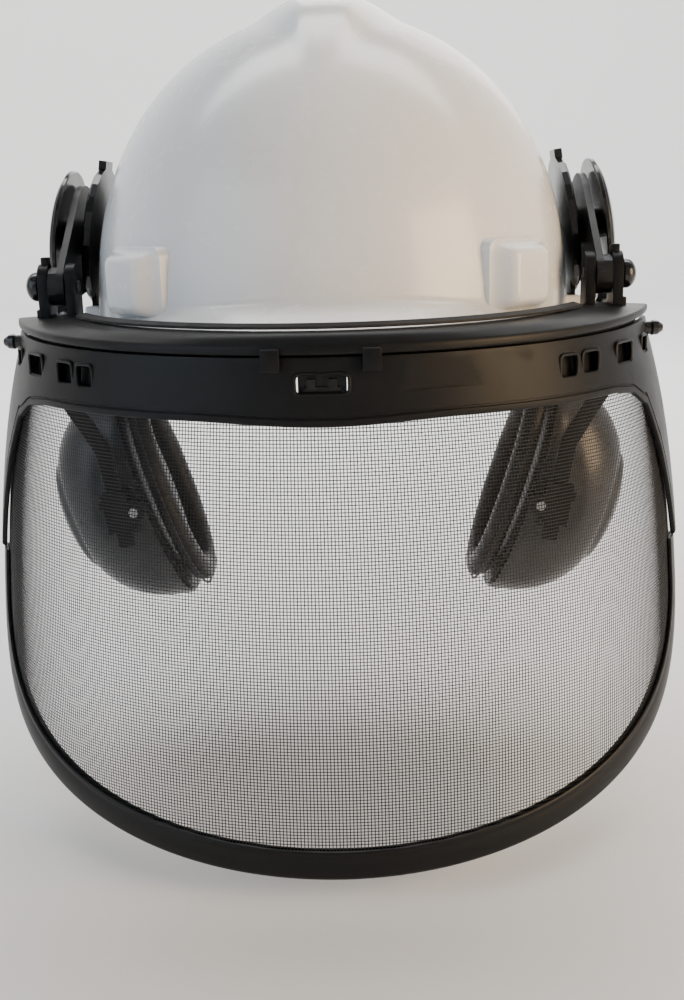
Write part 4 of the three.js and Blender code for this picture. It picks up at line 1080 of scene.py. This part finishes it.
def crown_strap(name, bearing_deg, top):
    """A woven strap over the head, with rolled selvedges and a UV map in millimetres for its weave."""
    bearing = math.radians(bearing_deg)
    along = Vector((math.sin(bearing), -math.cos(bearing), 0))
    across = Vector((math.cos(bearing), math.sin(bearing), 0))
    half_span, foot, low = 86, 40, math.sqrt(0.06)
    section = [
        (-9.3, 0.1), (-8.3, 0.0), (8.3, 0.0), (9.3, 0.1), (9.5, 0.65), (9.2, 1.25),
        (8.4, 1.3), (7.6, 1.05), (-7.6, 1.05), (-8.4, 1.3), (-9.2, 1.25), (-9.5, 0.65),
    ]
    rings, distance, last = [], [], None
    for s in spread(-1, 1, 96):
        arch = math.sqrt(1 - 0.94 * s * s)
        centre = along * half_span * s
        centre.z = top - (1 - (arch - low) / (1 - low)) * (top - foot)
        centre.y += HAT_CENTRE_Y
        slope = (along * s * 0.9 + Vector((0, 0, max(0.25, arch)))).normalized()
        rings.append([centre + across * w + slope * h for w, h in section])
        distance.append(0 if last is None else distance[-1] + (centre - last).length)
        last = centre
    strap = skin(f"{name}_webbing", rings, smooth_angle=60)
    layer = strap.data.uv_layers.new(name="weave")
    for loop in strap.data.loops:
        ring, corner = divmod(loop.vertex_index, len(section))
        layer.data[loop.index].uv = (section[corner][0], distance[ring])
    finish_piece(strap, "helmet", "webbing", name)


for side_name, side in SIDES.items():
    pad_cover(side_name, side)
    seam_bead(side_name, side)
    cup_foam(side_name, side)
sweatband()
crown_strap("crown_strap_a", 42, 112)
crown_strap("crown_strap_b", -42, 115)


# ---------------------------------------------------------------- CAD nodes that keep their own shape


NODE_SLOTS = {part["node"]: part["material_slot"] for part in frame["record"]["subparts"]}


def carried_over(name, obj):
    """Gives a CAD node its material, and breaks its hard edges with modifiers."""
    slot = NODE_SLOTS[name]
    obj.data.materials.clear()
    obj.data.materials.append(MATERIALS[slot])
    flatten = obj.modifiers.new("flatten", "DECIMATE")
    flatten.decimate_type = "DISSOLVE"
    flatten.angle_limit = math.radians(1)
    edges = obj.modifiers.new("edges", "BEVEL")
    edges.width = 0.45 * MM
    edges.segments = 2
    edges.limit_method = "ANGLE"
    edges.angle_limit = math.radians(40)
    edges.harden_normals = True


for name, obj in frame["nodes"].items():
    if not obj.hide_render:
        carried_over(name, obj)


# ---------------------------------------------------------------- floor, light and camera


FLOOR_DROP = 12  # the floor lies this far below the object, whose weight hangs on a head
SWEEP_FLAT = 3200  # the floor is flat this far out, and then bends up into a wall
SWEEP_RADIUS = 900
SWEEP_SIDES = 96
WALL_HEIGHT = 4500


def floor():
    """One white sheet all round the object: a round floor that bends up into a wall."""
    level = cad_box[0][2] / MM - FLOOR_DROP
    profile = [(1, level)]
    for angle in spread(0, math.pi / 2, 16):
        out = SWEEP_FLAT + SWEEP_RADIUS * math.sin(angle)
        profile.append((out, level + SWEEP_RADIUS * (1 - math.cos(angle))))
    profile.append((SWEEP_FLAT + SWEEP_RADIUS, level + WALL_HEIGHT))
    bearings = [2 * math.pi * i / SWEEP_SIDES for i in range(SWEEP_SIDES)]
    corners = [(r * math.cos(t), r * math.sin(t), z) for r, z in profile for t in bearings]
    faces = []
    for ring in range(len(profile) - 1):
        here, there = ring * SWEEP_SIDES, (ring + 1) * SWEEP_SIDES
        for i in range(SWEEP_SIDES):
            k = (i + 1) % SWEEP_SIDES
            faces.append((here + i, here + k, there + k, there + i))
    obj = mesh_object("floor", corners, faces + [tuple(range(SWEEP_SIDES))])
    graph = Graph("floor")
    graph.set(Roughness=0.7, Specular_IOR_Level=0.2)
    graph.colour(graph.blended(graph.noise(3, 4), (0.80, 0.80, 0.80), (0.84, 0.84, 0.84)))
    obj.data.materials.append(graph.material)


def area_light(name, location, aim, size, power, colour):
    """A square soft light at location that looks at aim."""
    data = bpy.data.lights.new(name, "AREA")
    data.size, data.energy, data.color = size, power, colour
    obj = bpy.data.objects.new(name, data)
    bpy.context.scene.collection.objects.link(obj)
    obj.location = location
    obj.rotation_euler = (Vector(aim) - obj.location).to_track_quat("-Z", "Y").to_euler()


HELMET_MIDDLE = (0, -0.02, 0)
BACK_WALL = (0, 3.8, 0.5)
COOL, WARM, WHITE = (0.66, 0.83, 1.0), (1.0, 0.70, 0.40), (1.0, 1.0, 1.0)
WORLD_STRENGTH = 0.08  # nearly all the light comes from the lamps and off the sheet


def lights():
    """Cool light from the wearer's right and warm light from the left, with soft white light from behind."""
    area_light("key_cool", (-1.35, -1.1, 0.55), HELMET_MIDDLE, 1.5, 12, COOL)
    area_light("key_warm", (1.3, -0.75, 0.3), HELMET_MIDDLE, 0.9, 26, WARM)
    area_light("top", (-0.15, 0.2, 1.5), HELMET_MIDDLE, 1.2, 1.5, (0.96, 0.98, 1.0))
    area_light("rim", (0.3, 1.5, 0.9), HELMET_MIDDLE, 1.0, 6, (1.0, 0.98, 0.95))
    area_light("floor_fill", (0.0, -0.2, 2.6), HELMET_MIDDLE, 3.0, 9, WHITE)
    area_light("backdrop", (0, 1.2, 2.6), BACK_WALL, 3.0, 190, WHITE)
    world = bpy.data.worlds.new("studio")
    bpy.context.scene.world = world
    world.use_nodes = True
    background = world.node_tree.nodes["Background"]
    background.inputs["Color"].default_value = (0.95, 0.97, 1.0, 1)
    background.inputs["Strength"].default_value = WORLD_STRENGTH


def camera():
    """Looks slightly down at the wearer's face, from a little to the wearer's left."""
    bearing, turned_in, pitch, roll = (math.radians(a) for a in (1.82, 1.63, 13.93, 1.44))
    distance, height = 566.5, 49.9
    forward = Vector(
        (-math.sin(turned_in) * math.cos(pitch), math.cos(turned_in) * math.cos(pitch), -math.sin(pitch))
    )
    level_right = Vector((math.cos(turned_in), math.sin(turned_in), 0))
    level_up = level_right.cross(forward)
    right = math.cos(roll) * level_right - math.sin(roll) * level_up
    up = math.sin(roll) * level_right + math.cos(roll) * level_up
    turn = Matrix((right, up, -forward)).transposed().to_4x4()
    place_at = Vector((distance * math.sin(bearing), -distance * math.cos(bearing), height)) * MM
    data = bpy.data.cameras.new("camera")
    data.sensor_fit, data.sensor_height = "VERTICAL", 24
    data.lens = 27.3
    data.clip_start = 0.01
    obj = bpy.data.objects.new("camera", data)
    bpy.context.scene.collection.objects.link(obj)
    obj.matrix_world = Matrix.Translation(place_at) @ turn
    bpy.context.scene.camera = obj


floor()
lights()
camera()
